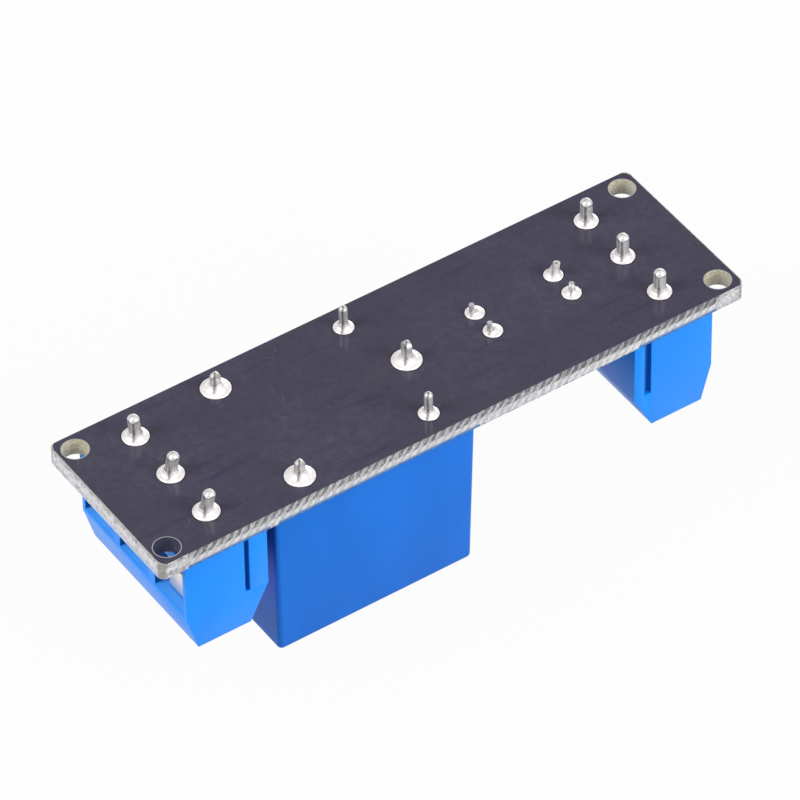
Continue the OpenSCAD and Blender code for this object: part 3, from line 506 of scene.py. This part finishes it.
def bundle_light(m, x, depth, fibre, fine):
    """How light the long edges are: two rows of slanted fibre bundles, duller towards the right."""
    turn = 2 * math.pi / (settings("board").weave_pitch / MM)
    wobble = m.noise(1.3, 2.0) * 0.50
    patch = m.noise(1.0, 2.0, (1.0, 1.0, 0.2))
    lower = depth.ramp(0.64, 0.90)
    right = x.ramp(6.0, 13.0) * (1.0 - x.ramp(24.6, 25.6))
    phase = (x + depth * 0.55 + wobble + lower * 0.35) * turn
    stroke = phase.sin() * 0.34 + (phase * 2.3 + patch * 5.0).sin() * 0.22 + 0.5
    stroke = stroke.ramp(0.15, 0.85) * (0.45 + patch * 0.9)
    light = 0.03 + depth.ramp(0.02, 0.16) * 0.24 + depth.ramp(0.1, 0.4) * 0.07 + lower * 0.42
    light = light + (stroke - 0.45) * (0.60 - lower * 0.20)
    light = light + (fine - 0.5) * 0.75 + (fibre - 0.5) * 0.80
    return light - right * (1.0 - lower) * 0.20 + right * lower * 0.04


def end_light(m, depth, side, fibre, fine):
    """How light the short edges and the corners are: cut fibres in all directions."""
    swell = depth.ramp(0.0, 0.7) * 0.36 - depth.ramp(0.8, 1.3) * 0.2
    swell = swell + (m.noise(2.6, 3.0) - 0.5) * 1.3 + (fibre - 0.5) * 1.5 + (fine - 0.5) * 1.1
    return 0.44 + side * 0.14 + swell


def near_edge(value, edge, start, full):
    """A mask that rises towards an edge of the board on both sides of its middle."""
    return abs(value).ramp(edge - start, edge - full)


def laminate_finish():
    """Sawn glass laminate at the board's edges, and the drilled walls of its holes."""
    s = settings("board")
    m = Finish("glass_laminate", IOR=1.5)
    x, y, z = m.axes()
    depth = BOARD_HIGH.z - z
    fibre = m.noise(3.6, 4.0, (1.0, 1.0, 1.6))
    fine = m.noise(6.5, 3.0, (1.0, 1.0, 0.35))
    ends = near_edge(x, BOARD_HIGH.x, 3.1, 2.1)
    side = near_edge(x, BOARD_HIGH.x, 0.5, 0.2)
    light = bundle_light(m, x, depth, fibre, fine) * (1.0 - ends)
    light = light + ends * end_light(m, depth, side, fibre, fine)
    tone = m.blend(light.at_least(0.0).at_most(1.0), s.core_shade, s.core_colour)

    # Painted shade and blue reflection at the edge's foot over the blue parts, and painted shadow dashes
    stands = most([within(abs(x - at) - half, 0.05) for at, half in board_feet()])
    foot = (depth + (fine - 0.5) * 0.12).ramp(1.16, 1.46) * stands
    tone = m.blend(foot, tone, s.foot_shade_colour)
    painted_shadow_dash = fibre.ramp(0.46, 0.54) * depth.ramp(1.48, 1.53) * (1.0 - ends)
    tone = m.blend(painted_shadow_dash * 0.8, tone, shade(s.foot_shade_colour, 0.25))
    # A painted blue reflection at the lower border of the short edges, stronger at the front
    painted_blue_reflection = side * depth.ramp(1.05, 1.5) * (0.15 + (1.0 - y.ramp(-1.0, 3.0)) * 0.5)
    tone = m.blend(painted_blue_reflection, tone, (0.42, 0.53, 0.78))

    # The corners are darker, and the wall of the near left hole is darker
    corner = near_edge(x, BOARD_HIGH.x, 0.65, 0.35) * near_edge(y, BOARD_HIGH.y, 0.65, 0.35)
    tone = m.blend(corner * 0.7, tone, shade(s.hole_colour, 0.40))
    hole = within(from_corner_hole(x, y) - 0.03)
    wall = m.blend(fibre.ramp(0.3, 0.7), shade(s.hole_colour, 0.78), shade(s.hole_colour, 1.18))
    darker_walled = (1.0 - x.ramp(-1.0, 1.0)) * (1.0 - y.ramp(-1.0, 1.0))
    wall = m.blend(darker_walled * (1.0 - fibre.ramp(0.62, 0.70) * 0.15), wall, s.dark_wall_colour)
    m.set("Base Color", m.blend(hole, tone, wall))
    m.set("Roughness", 0.80 - light * 0.14)
    m.bump(light * (1.0 - hole) * 0.8 + fibre * 0.3 + fine * 0.2, 0.06)
    return m.material


def plastic_finish(name, colour, rough=0.34, grain_depth=0.010, gloss=0.28, painted_shade=None,
                   pale=None, deep=0.40):
    """Moulded plastic: a faint grain, flow marks, rubbed places and a little dust. Two masks may be
    given: where shade is painted, darker by the factor deep, and where light is painted, paler."""
    m = Finish(name, IOR=1.45, Specular_IOR_Level=gloss)
    grain = m.noise(14.0, 4.0)
    flow = m.noise(0.24, 3.0, (1.0, 1.0, 0.5))
    scuff = m.noise(1.2, 2.0, (1.0, 1.0, 0.35)).ramp(0.66, 0.74) * m.noise(7.0, 2.0).ramp(0.55, 0.70)
    mark = m.specks(0.9, 0.05) * m.noise(0.45, 1.0).ramp(0.56, 0.66)
    tone = m.blend(flow.ramp(0.35, 0.7), shade(colour, 0.96), shade(colour, 1.04))
    tone = m.blend(scuff * 0.10, tone, shade([c + 0.15 for c in colour], 1.1))
    tone = m.blend(mark * 0.4, tone, shade(colour, 0.35))
    # Painted shade and painted light, where their masks are given
    if painted_shade:
        tone = m.blend(painted_shade(*m.axes()), tone, shade(colour, deep))
    if pale:
        tone = m.blend(pale(*m.axes()), tone, shade([c + 0.05 for c in colour], 1.1))
    m.set("Base Color", tone)
    m.set("Roughness", rough + grain * 0.06 + scuff * 0.12)
    m.bump(grain * 0.5 + flow * 0.5 + mark * 0.4, grain_depth)
    return m.material


def end_grooves(x, y, z):
    """A mask of the upright grooves in the ends of both housings, where shade is painted."""
    backs = (-1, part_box("left_terminal_housing")[1].x), (1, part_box("right_terminal_housing")[0].x)
    shapes = []
    for side, back in backs:
        for inset, width in (GROOVE_WIDE, GROOVE_NARROW):
            at = back / MM + side * (inset + width / 2), BOARD_HIGH.y - GROOVE_FROM_SIDE
            shapes.append(within(plate(x, abs(y), at, (width / 2 + 0.02, GROOVE_DEPTH / 2))))
    return most(shapes) * z.ramp(GROOVE_FOOT - 0.03, GROOVE_FOOT + 0.03)


def in_opening(x, y):
    """A mask of what stands inside the wire openings, seen from above."""
    left, right = (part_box(side + "_terminal_housing") for side in ("left", "right"))
    centre, reach = (left[0].x + right[1].x) / (2 * MM), (right[1].x - left[0].x) / (2 * MM)
    inwards = reach - abs(x - centre)
    across = inwards.ramp(0.03, 0.07) * (1.0 - inwards.ramp(OPENING_DEPTH - 0.1, OPENING_DEPTH + 0.1))
    return across * (1.0 - abs(y).ramp(OPENING_SIDE - 0.05, OPENING_SIDE + 0.05))


def housing_painted_shade(x, y, z):
    """Painted shade in the grooves of the housings, and on the walls of their wire openings."""
    wall = in_opening(x, y) * z.ramp(OPENING_FLOOR + 0.03, OPENING_FLOOR + 0.08)
    return (end_grooves(x, y, z) * 0.68).at_least(wall)


def sill_painted_light(x, y, z):
    """The floors of the wire openings, where light is painted: their colour is made paler."""
    return in_opening(x, y) * within(abs(z - OPENING_FLOOR) - 0.03, 0.02)


def case_painted_shade(x, y, z):
    """Painted shade on the upper part of the relay's end that faces the left housing closely."""
    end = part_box("relay_case")[0].x / MM
    return (1.0 - x.ramp(end + 0.02, end + 0.25)) * z.ramp(6.0, 13.0) * 0.9


def housing_finish():
    """The housings' plastic, with painted shade in the grooves and on the walls of the openings,
    and painted light on the sills.
    """
    colour = settings("plastic").housing_colour
    return plastic_finish("housing_plastic", colour, 0.33, painted_shade=housing_painted_shade, pale=sill_painted_light)


def metal_finish(name, colour, rough=0.28, stretch=(1.0, 1.0, 1.0), metallic=1.0, crease=None,
                 painted_streaks=()):
    """Drawn or plated metal with fine lines and small stains. The listed pins get a painted dark
    streak, partly a seam and partly a painted dark reflection, and crease is where their tips begin
    at the left and right blocks, marked with a line of painted shade."""
    m = Finish(name, Metallic=metallic)
    line = m.noise(11.0, 3.0, stretch)
    stain = m.noise(1.9, 3.0)
    tone = m.blend(stain.ramp(0.42, 0.72) * 0.7, colour, shade(colour, 0.72))
    tone = m.blend(line.ramp(0.35, 0.75) * 0.35, tone, shade(colour, 0.82))
    if painted_streaks:
        x, y, z = m.axes()
        shaft = z.ramp(BOARD_HIGH.z, BOARD_HIGH.z + 0.1)
        if crease:
            level = crease[0] + x.ramp(-1.0, 1.0) * (crease[1] - crease[0])
            shaft = shaft * (1.0 - z.ramp(level - 0.05, level + 0.05))
            # Painted shade: a dark line where each pin's rounded tip begins
            tone = m.blend(within(abs(z - level) - 0.045, 0.03) * 0.85, tone, shade(colour, 0.16))
        lines = [strip(x, y, *painted_streak_of(at, 0.8), 0.15) for at in painted_streaks]
        painted_streak = most([within(distance + (stain - 0.5) * 0.3, 0.07) for distance in lines])
        # Darker shafts, unevenly, and a painted dark streak: partly a seam, partly a painted reflection
        tone = m.blend(shaft * (0.2 + stain * 0.4), tone, shade(colour, 0.55))
        tone = m.blend(painted_streak * shaft * 0.8, tone, shade(colour, 0.10))
    m.set("Base Color", tone)
    m.set("Roughness", rough + line * 0.10 + stain.ramp(0.45, 0.8) * 0.12)
    m.bump(line * 0.7 + stain * 0.3, 0.006)
    return m.material


def terminal_pins():
    """Where the six terminal pins come through the board."""
    return [(side * PIN_ROW, row * SCREW.y) for side in (-1, 1) for row in (-1, 0, 1)]


def relay_pins():
    """Where the relay's five pins come through the board."""
    pairs = [(x, side * RELAY_PIN_Y) for x in (CONTACT_X, COIL_X) for side in (-1, 1)]
    return [(COMMON_X, 0.0)] + pairs


def painted_streak_of(at, reach):
    """The ends of a line from a pin's middle out to the side on which its dark streak is painted."""
    return at, tuple(Vector(at) + TOWARDS_PAINTED_STREAK * reach)


def pin_finish():
    """Tinned strip, with painted shade as a dark line where the rounded tip of each terminal pin begins.
    """
    tips = [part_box(f"clamp_body_{i}")[1].z / MM for i in (1, 4)]
    return metal_finish("tinned_metal", settings("metal").pin_colour, 0.36, (1.0, 1.0, 0.14), 0.62,
                        [tip - TIP_H for tip in tips], terminal_pins())


def solder_finish():
    """Bright solder, frosty and mottled, with a painted shadow line at its foot, painted shade where
    it climbs a pin, and a painted dark reflection and shadow of each pin as a streak.
    """
    s = settings("metal")
    m = Finish("solder", Metallic=0.35)
    x, y, z = m.axes()
    frost = m.noise(8.5, 4.0)
    pool = m.noise(1.9, 3.0)
    height = z - BOARD_HIGH.z
    rise = height.ramp(0.25, 0.6)
    leads = [(at.x, at.y + side * LEAD_HALF_PITCH) for at in lead_places() for side in (-1, 1)]
    # A painted dark reflection and shadow of each pin, as a streak across its joint
    painted_streaks = [strip(x, y, *painted_streak_of(at, 0.75), 0.24) for at in terminal_pins() + relay_pins()]
    painted_streaks += [strip(x, y, *painted_streak_of(at, 0.45), 0.16) for at in leads]
    painted_reflection_and_shadow = most([within(painted_streak + (frost - 0.5) * 0.12, 0.11) for painted_streak in painted_streaks])
    tone = m.blend(pool.ramp(0.46, 0.66) * 0.30, s.solder_colour, (0.55, 0.47, 0.47))
    tone = m.blend(frost.ramp(0.52, 0.72) * 0.20, tone, (0.42, 0.38, 0.37))
    # Painted shade high on each joint, where it climbs its pin
    tone = m.blend(rise * 0.35, tone, shade(s.solder_colour, 0.55))
    tone = m.blend(painted_reflection_and_shadow * 0.72, tone, (0.12, 0.09, 0.085))
    # Painted contact shadow: a dark line round the foot of each joint
    tone = m.blend((1.0 - abs(height).ramp(0.02, 0.05)) * 0.75, tone, (0.04, 0.035, 0.04))
    m.set("Base Color", tone)
    m.set("Roughness", 0.27 + frost * 0.12)
    m.bump(frost * 0.50 + pool * 0.50, 0.025)
    return m.material


def thread_finish():
    """Plated steel with the thread of the screws on their shanks, as relief with painted shade in its
    troughs.
    """
    s = settings("metal")
    m = Finish("screw_steel", Metallic=0.9)
    x, y, z = m.axes()
    low, high = (corner.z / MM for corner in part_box("terminal_screw_1"))
    above_head = z.ramp(low + HEAD_H, low + HEAD_H + 0.15)
    shank = above_head * (1.0 - z.ramp(high - NOSE_H, high - NOSE_H + 0.1))
    between = SCREW.y / 2
    pole = y.ramp(between - 0.01, between + 0.01) - (1.0 - y.ramp(-between - 0.01, -between + 0.01))
    turn = (y - pole * SCREW.y).angle_to(abs(x) - abs(SCREW.x))
    thread = (z * (2 * math.pi / (s.thread_pitch / MM)) + turn).sin() * 0.5 + 0.5
    line = m.noise(9.0, 3.0)
    # Painted shade in the troughs of the thread
    tone = m.blend(shank * (1.0 - thread) * 0.6, s.steel_colour, shade(s.steel_colour, 0.42))
    tone = m.blend(line.ramp(0.5, 0.8) * 0.4, tone, shade(s.steel_colour, 0.76))
    m.set("Base Color", tone)
    m.set("Roughness", 0.26 + line * 0.14)
    m.bump(thread * shank + line * 0.03, 0.11)
    return m.material


def winding_finish():
    """Fine lacquered wire, turn beside turn, with painted shade between the turns."""
    s = settings("metal")
    m = Finish("coil_winding", Metallic=0.9)
    z = m.axes()[2]
    wire = (z * (2 * math.pi / WIRE_PITCH)).sin() * 0.5 + 0.5
    # Painted shade between the turns of the wire
    m.set("Base Color", m.blend(wire, shade(s.copper_colour, 0.42), s.copper_colour))
    m.set("Roughness", 0.34 + m.noise(6.0) * 0.1)
    m.bump(wire, 0.03)
    return m.material


def lens_finish(name, colour):
    """Coloured clear epoxy, a little cloudy."""
    m = Finish(name, IOR=1.55, Transmission_Weight=0.62)
    haze = m.noise(0.9, 2.0)
    m.set("Base Color", m.blend(haze.ramp(0.3, 0.75), colour, shade([c + 0.03 for c in colour], 1.15)))
    m.set("Roughness", 0.09 + haze * 0.10)
    m.bump(m.noise(3.0, 2.0), 0.006)
    return m.material


def ceramic_finish():
    """Chip resistors: a black coat on top, and tinned caps at both ends."""
    m = Finish("chip_resistor")
    x, _, z = m.axes()
    cap = abs(x - middle("chip_resistors").x).ramp(0.62, 0.66)
    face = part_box("chip_resistors")[0].z / MM
    coat = 1.0 - z.ramp(face + 0.045, face + 0.06)
    grain = m.noise(9.0, 3.0)
    tone = m.blend(coat, (0.78, 0.76, 0.72), (0.018, 0.018, 0.020))
    tone = m.blend(cap, tone, (0.66, 0.65, 0.66))
    m.set("Base Color", m.blend(grain * 0.25, tone, (0.40, 0.39, 0.38)))
    m.set("Metallic", cap * 0.9)
    m.set("Roughness", 0.42 + grain * 0.14 - cap * 0.12)
    m.bump(cap * 0.6 + grain * 0.3, 0.03)
    return m.material


def moulded_part_finish():
    """Black moulding compound, which the leads of these parts share."""
    m = Finish("moulding_compound", IOR=1.55)
    grain = m.noise(16.0, 4.0)
    m.set("Base Color", m.blend(grain.ramp(0.4, 0.7), (0.014, 0.014, 0.015), (0.040, 0.040, 0.043)))
    m.set("Roughness", 0.52 + grain * 0.16)
    m.bump(grain, 0.012)
    return m.material


# The materials that are made so far, by their keys
FINISHES = {}


def finish(key):
    """A material by its key, made once."""
    p, t = settings("plastic"), settings("metal")
    makers = {
        "mask": lambda: mask_finish("solder_mask"),
        "mask_below": lambda: mask_finish("solder_mask_component_side", True),
        "laminate": laminate_finish,
        "housing": housing_finish,
        # The relay's case has painted shade on its end that faces the left housing
        "case": lambda: plastic_finish("case_plastic", p.case_colour, 0.32, 0.008, 0.08, case_painted_shade,
                                       deep=0.30),
        "base": lambda: plastic_finish("base_plastic", p.base_colour, 0.42),
        "bobbin": lambda: plastic_finish("bobbin_plastic", p.bobbin_colour, 0.45),
        "clamp": pin_finish,
        "plate": lambda: metal_finish("pressure_plate_steel", t.steel_colour, 0.34, (0.2, 1.0, 1.0), 0.6),
        "screw": thread_finish,
        "bronze": lambda: metal_finish("contact_bronze", t.bronze_colour, 0.30, (1.0, 1.0, 0.2)),
        "relay_pin": lambda: metal_finish("tinned_relay_pin", t.pin_colour, 0.36, (1.0, 1.0, 0.16), 0.6,
                                          painted_streaks=relay_pins()),
        "iron": lambda: metal_finish("plated_iron", t.iron_colour, 0.42),
        "wire": lambda: metal_finish("tinned_wire", t.pin_colour, 0.34, (1.0, 1.0, 0.1), 0.6,
                                     painted_streaks=relay_pins()),
        "winding": winding_finish,
        "solder": solder_finish,
        "power_lens": lambda: lens_finish("power_lamp_epoxy", settings("lamp").power_colour),
        "relay_lens": lambda: lens_finish("relay_lamp_epoxy", settings("lamp").relay_colour),
        "ceramic": ceramic_finish,
        "compound": moulded_part_finish,
    }
    if key not in FINISHES:
        FINISHES[key] = makers[key]()
    return FINISHES[key]


# ---------- Modelling ----------

def select_none():
    """Leaves edit mode and deselects everything."""
    if bpy.context.mode != "OBJECT":
        bpy.ops.object.mode_set(mode="OBJECT")
    bpy.ops.object.select_all(action="DESELECT")


def only(piece):
    """Makes a piece the only one that is selected."""
    select_none()
    piece.select_set(True)
    bpy.context.view_layer.objects.active = piece


def edit(piece, choose="NONE"):
    """Opens a piece in edit mode, with all or none of it selected."""
    only(piece)
    bpy.ops.object.mode_set(mode="EDIT")
    bpy.ops.mesh.select_all(action="SELECT" if choose == "ALL" else "DESELECT")


def done():
    """Closes edit mode."""
    bpy.ops.object.mode_set(mode="OBJECT")


def choose_faces(piece, test):
    """Selects the faces of the piece in edit mode whose centre and normal pass a test."""
    bpy.ops.mesh.select_mode(type="FACE")
    bpy.ops.mesh.select_all(action="DESELECT")
    shape = bmesh.from_edit_mesh(piece.data)
    count = 0
    for face in shape.faces:
        if test(face.calc_center_median(), face.normal):
            face.select_set(True)
            count += 1
    shape.select_flush(True)
    bmesh.update_edit_mesh(piece.data)
    if not count:
        raise RuntimeError("no face of " + piece.name + " was found")


def apply(piece, kind, **values):
    """Adds a modifier and applies it."""
    only(piece)
    made = piece.modifiers.new(kind.lower(), kind)
    for key, value in values.items():
        setattr(made, key, value)
    bpy.ops.object.modifier_apply(modifier=made.name)


def copy_of(node, name):
    """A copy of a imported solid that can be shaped, with its loose triangles joined."""
    piece = bpy.data.objects.new(name, frame["nodes"][node].data.copy())
    bpy.context.scene.collection.objects.link(piece)
    piece.data.materials.clear()
    only(piece)
    bpy.ops.mesh.customdata_custom_splitnormals_clear()
    edit(piece, "ALL")
    bpy.ops.mesh.remove_doubles(threshold=0.0005 * MM)
    bpy.ops.mesh.dissolve_limited(angle_limit=math.radians(FLAT))
    bpy.ops.mesh.vert_connect_concave()
    done()
    return piece


def smooth(piece):
    """Shades the curved faces of a piece smooth and leaves its edges crisp."""
    only(piece)
    bpy.ops.object.shade_smooth_by_angle(angle=math.radians(SMOOTH))


def soften(piece, radius, angle=SHARP):
    """Rounds the edges of a piece that are sharper than an angle."""
    apply(piece, "BEVEL", width=radius, segments=2, limit_method="ANGLE",
          angle_limit=math.radians(angle), use_clamp_overlap=True, harden_normals=False,
          miter_outer="MITER_ARC")
    smooth(piece)


def settle(piece, key, body, slot, *nodes):
    """Gives a finished piece its material and its body, and hides what it stands for."""
    if key:
        piece.data.materials.clear()
        piece.data.materials.append(finish(key))
    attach(piece, body)
    if nodes:
        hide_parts(*nodes)
    return piece


def dress(node, key):
    """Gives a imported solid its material."""
    solid = frame["nodes"][node]
    for place in solid.material_slots:
        place.material = finish(key)


def rounded_copy(node, key, slot, radius, body="root", angle=SHARP):
    """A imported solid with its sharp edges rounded."""
    piece = copy_of(node, node + "_shape")
    soften(piece, radius, angle)
    return settle(piece, key, body, slot, node)


class Maker(bpy.types.Operator):
    """Base of the operators that make a piece."""
    bl_options = {"REGISTER", "UNDO"}

    def execute(self, context):
        self.make()
        return {"FINISHED"}


# ---------- Board ----------

class MakeBoard(Maker):
    """Circuit board: bare laminate at the edges and in the holes, lacquer on both faces"""
    bl_idname = "relay_module.board"
    bl_label = "Circuit board"

    def make(self):
        board = copy_of("circuit_board", "board_with_mask")
        for key in ("laminate", "mask", "mask_below"):
            board.data.materials.append(finish(key))
        for level, up, slot in ((BOARD_HIGH.z, 1, 1), (BOARD_LOW.z, -1, 2)):
            edit(board)
            choose_faces(board, lambda c, n: n.z * up > 0.9 and abs(c.z / MM - level) < 0.01)
            board.active_material_index = slot
            bpy.ops.object.material_slot_assign()
            done()
        smooth(board)
        settle(board, None, "root", "board", "circuit_board")


# ---------- Terminal blocks ----------

class MakeHousings(Maker):
    """Terminal housings: both mouldings with rounded edges"""
    bl_idname = "relay_module.housings"
    bl_label = "Terminal housings"

    def make(self):
        radius = settings("plastic").edge_radius
        for side in ("left", "right"):
            rounded_copy(side + "_terminal_housing", "housing", "housing_plastic", radius)


def lean(piece, reach, at=None, steps=1):
    """Moves what stands above the board sideways by a reach, all of it or what is near a place. With
    more steps, each takes a higher part along, so that the shape curves over."""
    edit(piece, "ALL")
    level = BOARD_HIGH.z + LEAN_FOOT
    bpy.ops.mesh.bisect(plane_co=(0.0, 0.0, level * MM), plane_no=(0.0, 0.0, 1.0))
    bpy.ops.mesh.select_mode(type="VERT")
    for step in range(steps):
        bpy.ops.mesh.select_all(action="DESELECT")
        shape = bmesh.from_edit_mesh(piece.data)
        for corner in shape.verts:
            spot = corner.co / MM
            near = at is None or abs(spot.x - at[0]) + abs(spot.y - at[1]) < LEAD_REACH
            corner.select_set(near and spot.z > level + 0.01 + step * JOINT_STEP)
        shape.select_flush(True)
        bmesh.update_edit_mesh(piece.data)
        part = reach / steps
        bpy.ops.transform.translate(value=[part * share for share in LEAN_WAY])
    done()


def leaning_lead():
    """Where the lead of the relay lamp stands that leans, with its joint."""
    at = middle("relay_led_leads")
    return at.x, at.y + LEAD_HALF_PITCH


class MakeClamps(Maker):
    """Clamps: folded bodies with their pins, pressure plates and slotted screws"""
    bl_idname = "relay_module.clamps"
    bl_label = "Clamps and screws"

    def make(self):
        for i in POLES:
            body = rounded_copy(f"clamp_body_{i}", "clamp", "tinned_brass", CLAMP_EDGE)
            if i in PIN_LEAN:
                lean(body, PIN_LEAN[i] * MM)
            rounded_copy(f"pressure_plate_{i}", "plate", "plated_steel", THIN_EDGE, f"plate_{i}")
            rounded_copy(f"terminal_screw_{i}", "screw", "plated_steel", THIN_EDGE, f"screw_{i}")


# ---------- Relay ----------

class MakeRelay(Maker):
    """Relay: case, base, pins and the mechanism inside"""
    bl_idname = "relay_module.relay"
    bl_label = "Relay"

    def make(self):
        rounded_copy("relay_case", "case", "case_plastic", CASE_EDGE, angle=SHARP_ON_CASE)
        rounded_copy("relay_base", "base", "base_plastic", THIN_EDGE)
        for node, key in (("relay_yoke", "iron"), ("relay_core", "iron"), ("relay_bobbin", "bobbin"),
                          ("relay_coil", "winding"), ("relay_armature", "iron"),
                          ("contact_blade", "bronze")):
            dress(node, key)
        for node in ("common_terminal", "open_contact_terminal", "closed_contact_terminal"):
            rounded_copy(node, "relay_pin", "contact_bronze", THIN_EDGE)
        dress("coil_pins", "wire")


# ---------- Lamps and small parts ----------

class MakeLamps(Maker):
    """Lamps: coloured epoxy lenses and their leads"""
    bl_idname = "relay_module.lamps"
    bl_label = "Lamps"

    def make(self):
        for which, slot in (("power", "green_epoxy"), ("relay", "red_epoxy")):
            rounded_copy(f"{which}_led_lens", which + "_lens", slot, LENS_EDGE)
            dress(f"{which}_led_leads", "wire")
        leads = copy_of("relay_led_leads", "relay_led_leads_shape")
        lean(leads, LEAD_LEAN * MM, leaning_lead())
        settle(leads, "wire", "root", "lead_wire", "relay_led_leads")


class MakeSmallParts(Maker):
    """Small parts: the transistor, the diode and the chip resistors"""
    bl_idname = "relay_module.small_parts"
    bl_label = "Small parts"

    def make(self):
        for node in ("transistor", "diode"):
            rounded_copy(node, "compound", "black_epoxy", SMALL_EDGE)
        rounded_copy("chip_resistors", "ceramic", "chip_ceramic", SMALL_EDGE)


# ---------- Solder ----------

class MakeSolder(Maker):
    """Solder: a joint round every pin"""
    bl_idname = "relay_module.solder"
    bl_label = "Solder joints"

    def make(self):
        for node in ("terminal_solder", "relay_solder", "led_solder"):
            joint = rounded_copy(node, "solder", "solder", SOLDER_EDGE)
            if node == "led_solder":
                lean(joint, LEAD_LEAN * MM, leaning_lead(), JOINT_STEPS)


# ---------- Stage ----------

# Directions of the lamps from the module, and their size and distance in metres
LAMPS = {"left_lamp": (-0.78, 0.13, 0.61), "front_lamp": (0.41, -0.80, 0.44),
         "back_lamp": (0.74, 0.62, 0.22)}
LAMP_SIZE, LAMP_DISTANCE = 0.5, 0.9

# Darker places in the sky, which sloping metal and the lacquer mirror: direction, radius, depth
DARK_PATCHES = ((-0.734, -0.387, 0.561), 13.0, 0.9), ((0.397, 0.597, 0.697), 17.0, 0.7)

# The camera: sensor and lens, place in millimetres, and the directions ahead of it and to its right
SENSOR_WIDTH, LENS_LENGTH = 36.0, 332.41
CAMERA_PLACE = (-233.94, -351.82, 422.96)
CAMERA_AHEAD = (0.39719, 0.59749, -0.69660)
CAMERA_RIGHT = (0.82613, -0.56335, -0.01215)

# The place of the Backfacing socket among a Geometry node's outputs
BACKFACING = 6


class MakeStage(Maker):
    """Stage: a pale floor, soft light and the camera"""
    bl_idname = "relay_module.stage"
    bl_label = "Stage"

    def make(self):
        s = settings("stage")
        scene = bpy.context.scene
        scene.view_settings.view_transform = "Standard"
        self.floor(s)
        self.light(s)
        self.camera(scene)

    def floor(self, s):
        """A pale paper floor, which the camera sees from above and looks through from below."""
        select_none()
        bpy.ops.mesh.primitive_plane_add(size=3.0, location=(0.0, 0.0, 0.0))
        floor = bpy.context.object
        floor.name = "floor"
        m = Finish("floor_paper", Roughness=0.9)
        m.set("Base Color", s.floor_colour)
        paper = Link(m, m.shader.outputs[0])
        glow = m.node("ShaderNodeEmission", None, (1.0, 1.0, 1.0), 1.0)
        clear = m.node("ShaderNodeBsdfTransparent")
        below = m.node("ShaderNodeNewGeometry", out=BACKFACING)
        share = m.ray("Camera", "Glossy", "Transmission") * 0.96
        seen = m.node("ShaderNodeMixShader", None, share, paper, glow)
        through = m.node("ShaderNodeMixShader", None, below, seen, clear)
        m.links.new(through.socket, m.nodes["Material Output"].inputs["Surface"])
        floor.data.materials.append(m.material)

    def light(self, s):
        """A studio sky, brighter overhead, and three soft lamps."""
        world = bpy.context.scene.world or bpy.data.worlds.new("studio")
        bpy.context.scene.world = world
        world.use_nodes = True
        sky = Tree(world.node_tree)
        way = sky.node("ShaderNodeTexCoord")
        up = way.parts()[2]

        def patch(direction, radius):
            """A round place in the sky, as a mask, with its radius in degrees."""
            facing = sky.node("ShaderNodeVectorMath", {"operation": "DOT_PRODUCT"}, way, direction, out=1)
            return facing.ramp(math.cos(math.radians(radius * 1.3)), math.cos(math.radians(radius)))

        level = s.low_sky + up.ramp(0.35, 0.90) * (s.high_sky - s.low_sky)
        for direction, radius, depth in DARK_PATCHES:
            level = level * (1.0 - patch(direction, radius) * depth)
        horizon = sky.ray("Glossy", "Transmission") * (1.0 - up.ramp(0.18, 0.30))
        shown = sky.ray("Camera").at_least(horizon)
        back = sky.nodes["Background"]
        sky.feed(back.inputs["Color"], (1.0, 1.0, 1.0))
        sky.feed(back.inputs["Strength"], level * (1.0 - shown) + shown)
        for name, direction in LAMPS.items():
            lamp = bpy.data.lights.new(name, "AREA")
            lamp.shape, lamp.size, lamp.energy = "SQUARE", LAMP_SIZE, getattr(s, name)
            made = bpy.data.objects.new(name, lamp)
            bpy.context.scene.collection.objects.link(made)
            made.location = Vector(direction).normalized() * LAMP_DISTANCE
            made.rotation_euler = (-made.location).to_track_quat("-Z", "Y").to_euler()

    def camera(self, scene):
        """A camera with a long lens, above the left end and in front."""
        view = bpy.data.cameras.new("camera")
        view.sensor_width, view.lens = SENSOR_WIDTH, LENS_LENGTH
        view.clip_start, view.clip_end = 0.01, 10.0
        camera = bpy.data.objects.new("camera", view)
        scene.collection.objects.link(camera)
        ahead = Vector(CAMERA_AHEAD).normalized()
        right = Vector(CAMERA_RIGHT)
        right = (right - ahead * right.dot(ahead)).normalized()
        up = right.cross(ahead)
        turn = Matrix((right, up, -ahead)).transposed().to_4x4()
        camera.matrix_world = Matrix.Translation(Vector(CAMERA_PLACE) * MM) @ turn
        scene.camera = camera


MAKERS = (MakeBoard, MakeHousings, MakeClamps, MakeRelay, MakeLamps, MakeSmallParts, MakeSolder, MakeStage)
GROUPS = {"board": BoardSettings, "plastic": PlasticSettings, "metal": MetalSettings,
          "lamp": LampSettings, "stage": StageSettings}


class RelayModulePanel(bpy.types.Panel):
    """Lists the operators, and the sizes and colours that a user may change"""
    bl_idname = "VIEW3D_PT_relay_module"
    bl_label = "Relay module"
    bl_space_type = "VIEW_3D"
    bl_region_type = "UI"
    bl_category = "Relay module"

    def draw(self, context):
        for maker in MAKERS:
            self.layout.operator(maker.bl_idname)
        for name, group in GROUPS.items():
            box = self.layout.box()
            for key in group.__annotations__:
                box.prop(settings(name), key)


CLASSES = (*GROUPS.values(), *MAKERS, RelayModulePanel)


def register():
    """Makes the operators, the panel and the settings known to Blender."""
    for made in CLASSES:
        bpy.utils.register_class(made)
    for name, group in GROUPS.items():
        setattr(bpy.types.Scene, "relay_module_" + name, PointerProperty(type=group))


def unregister():
    """Takes them away again."""
    for name in GROUPS:
        delattr(bpy.types.Scene, "relay_module_" + name)
    for made in reversed(CLASSES):
        bpy.utils.unregister_class(made)


def main():
    """Makes all the pieces and the stage."""
    register()
    for maker in MAKERS:
        group, name = maker.bl_idname.split(".")
        getattr(getattr(bpy.ops, group), name)()


if __name__ == "__main__":
    main()
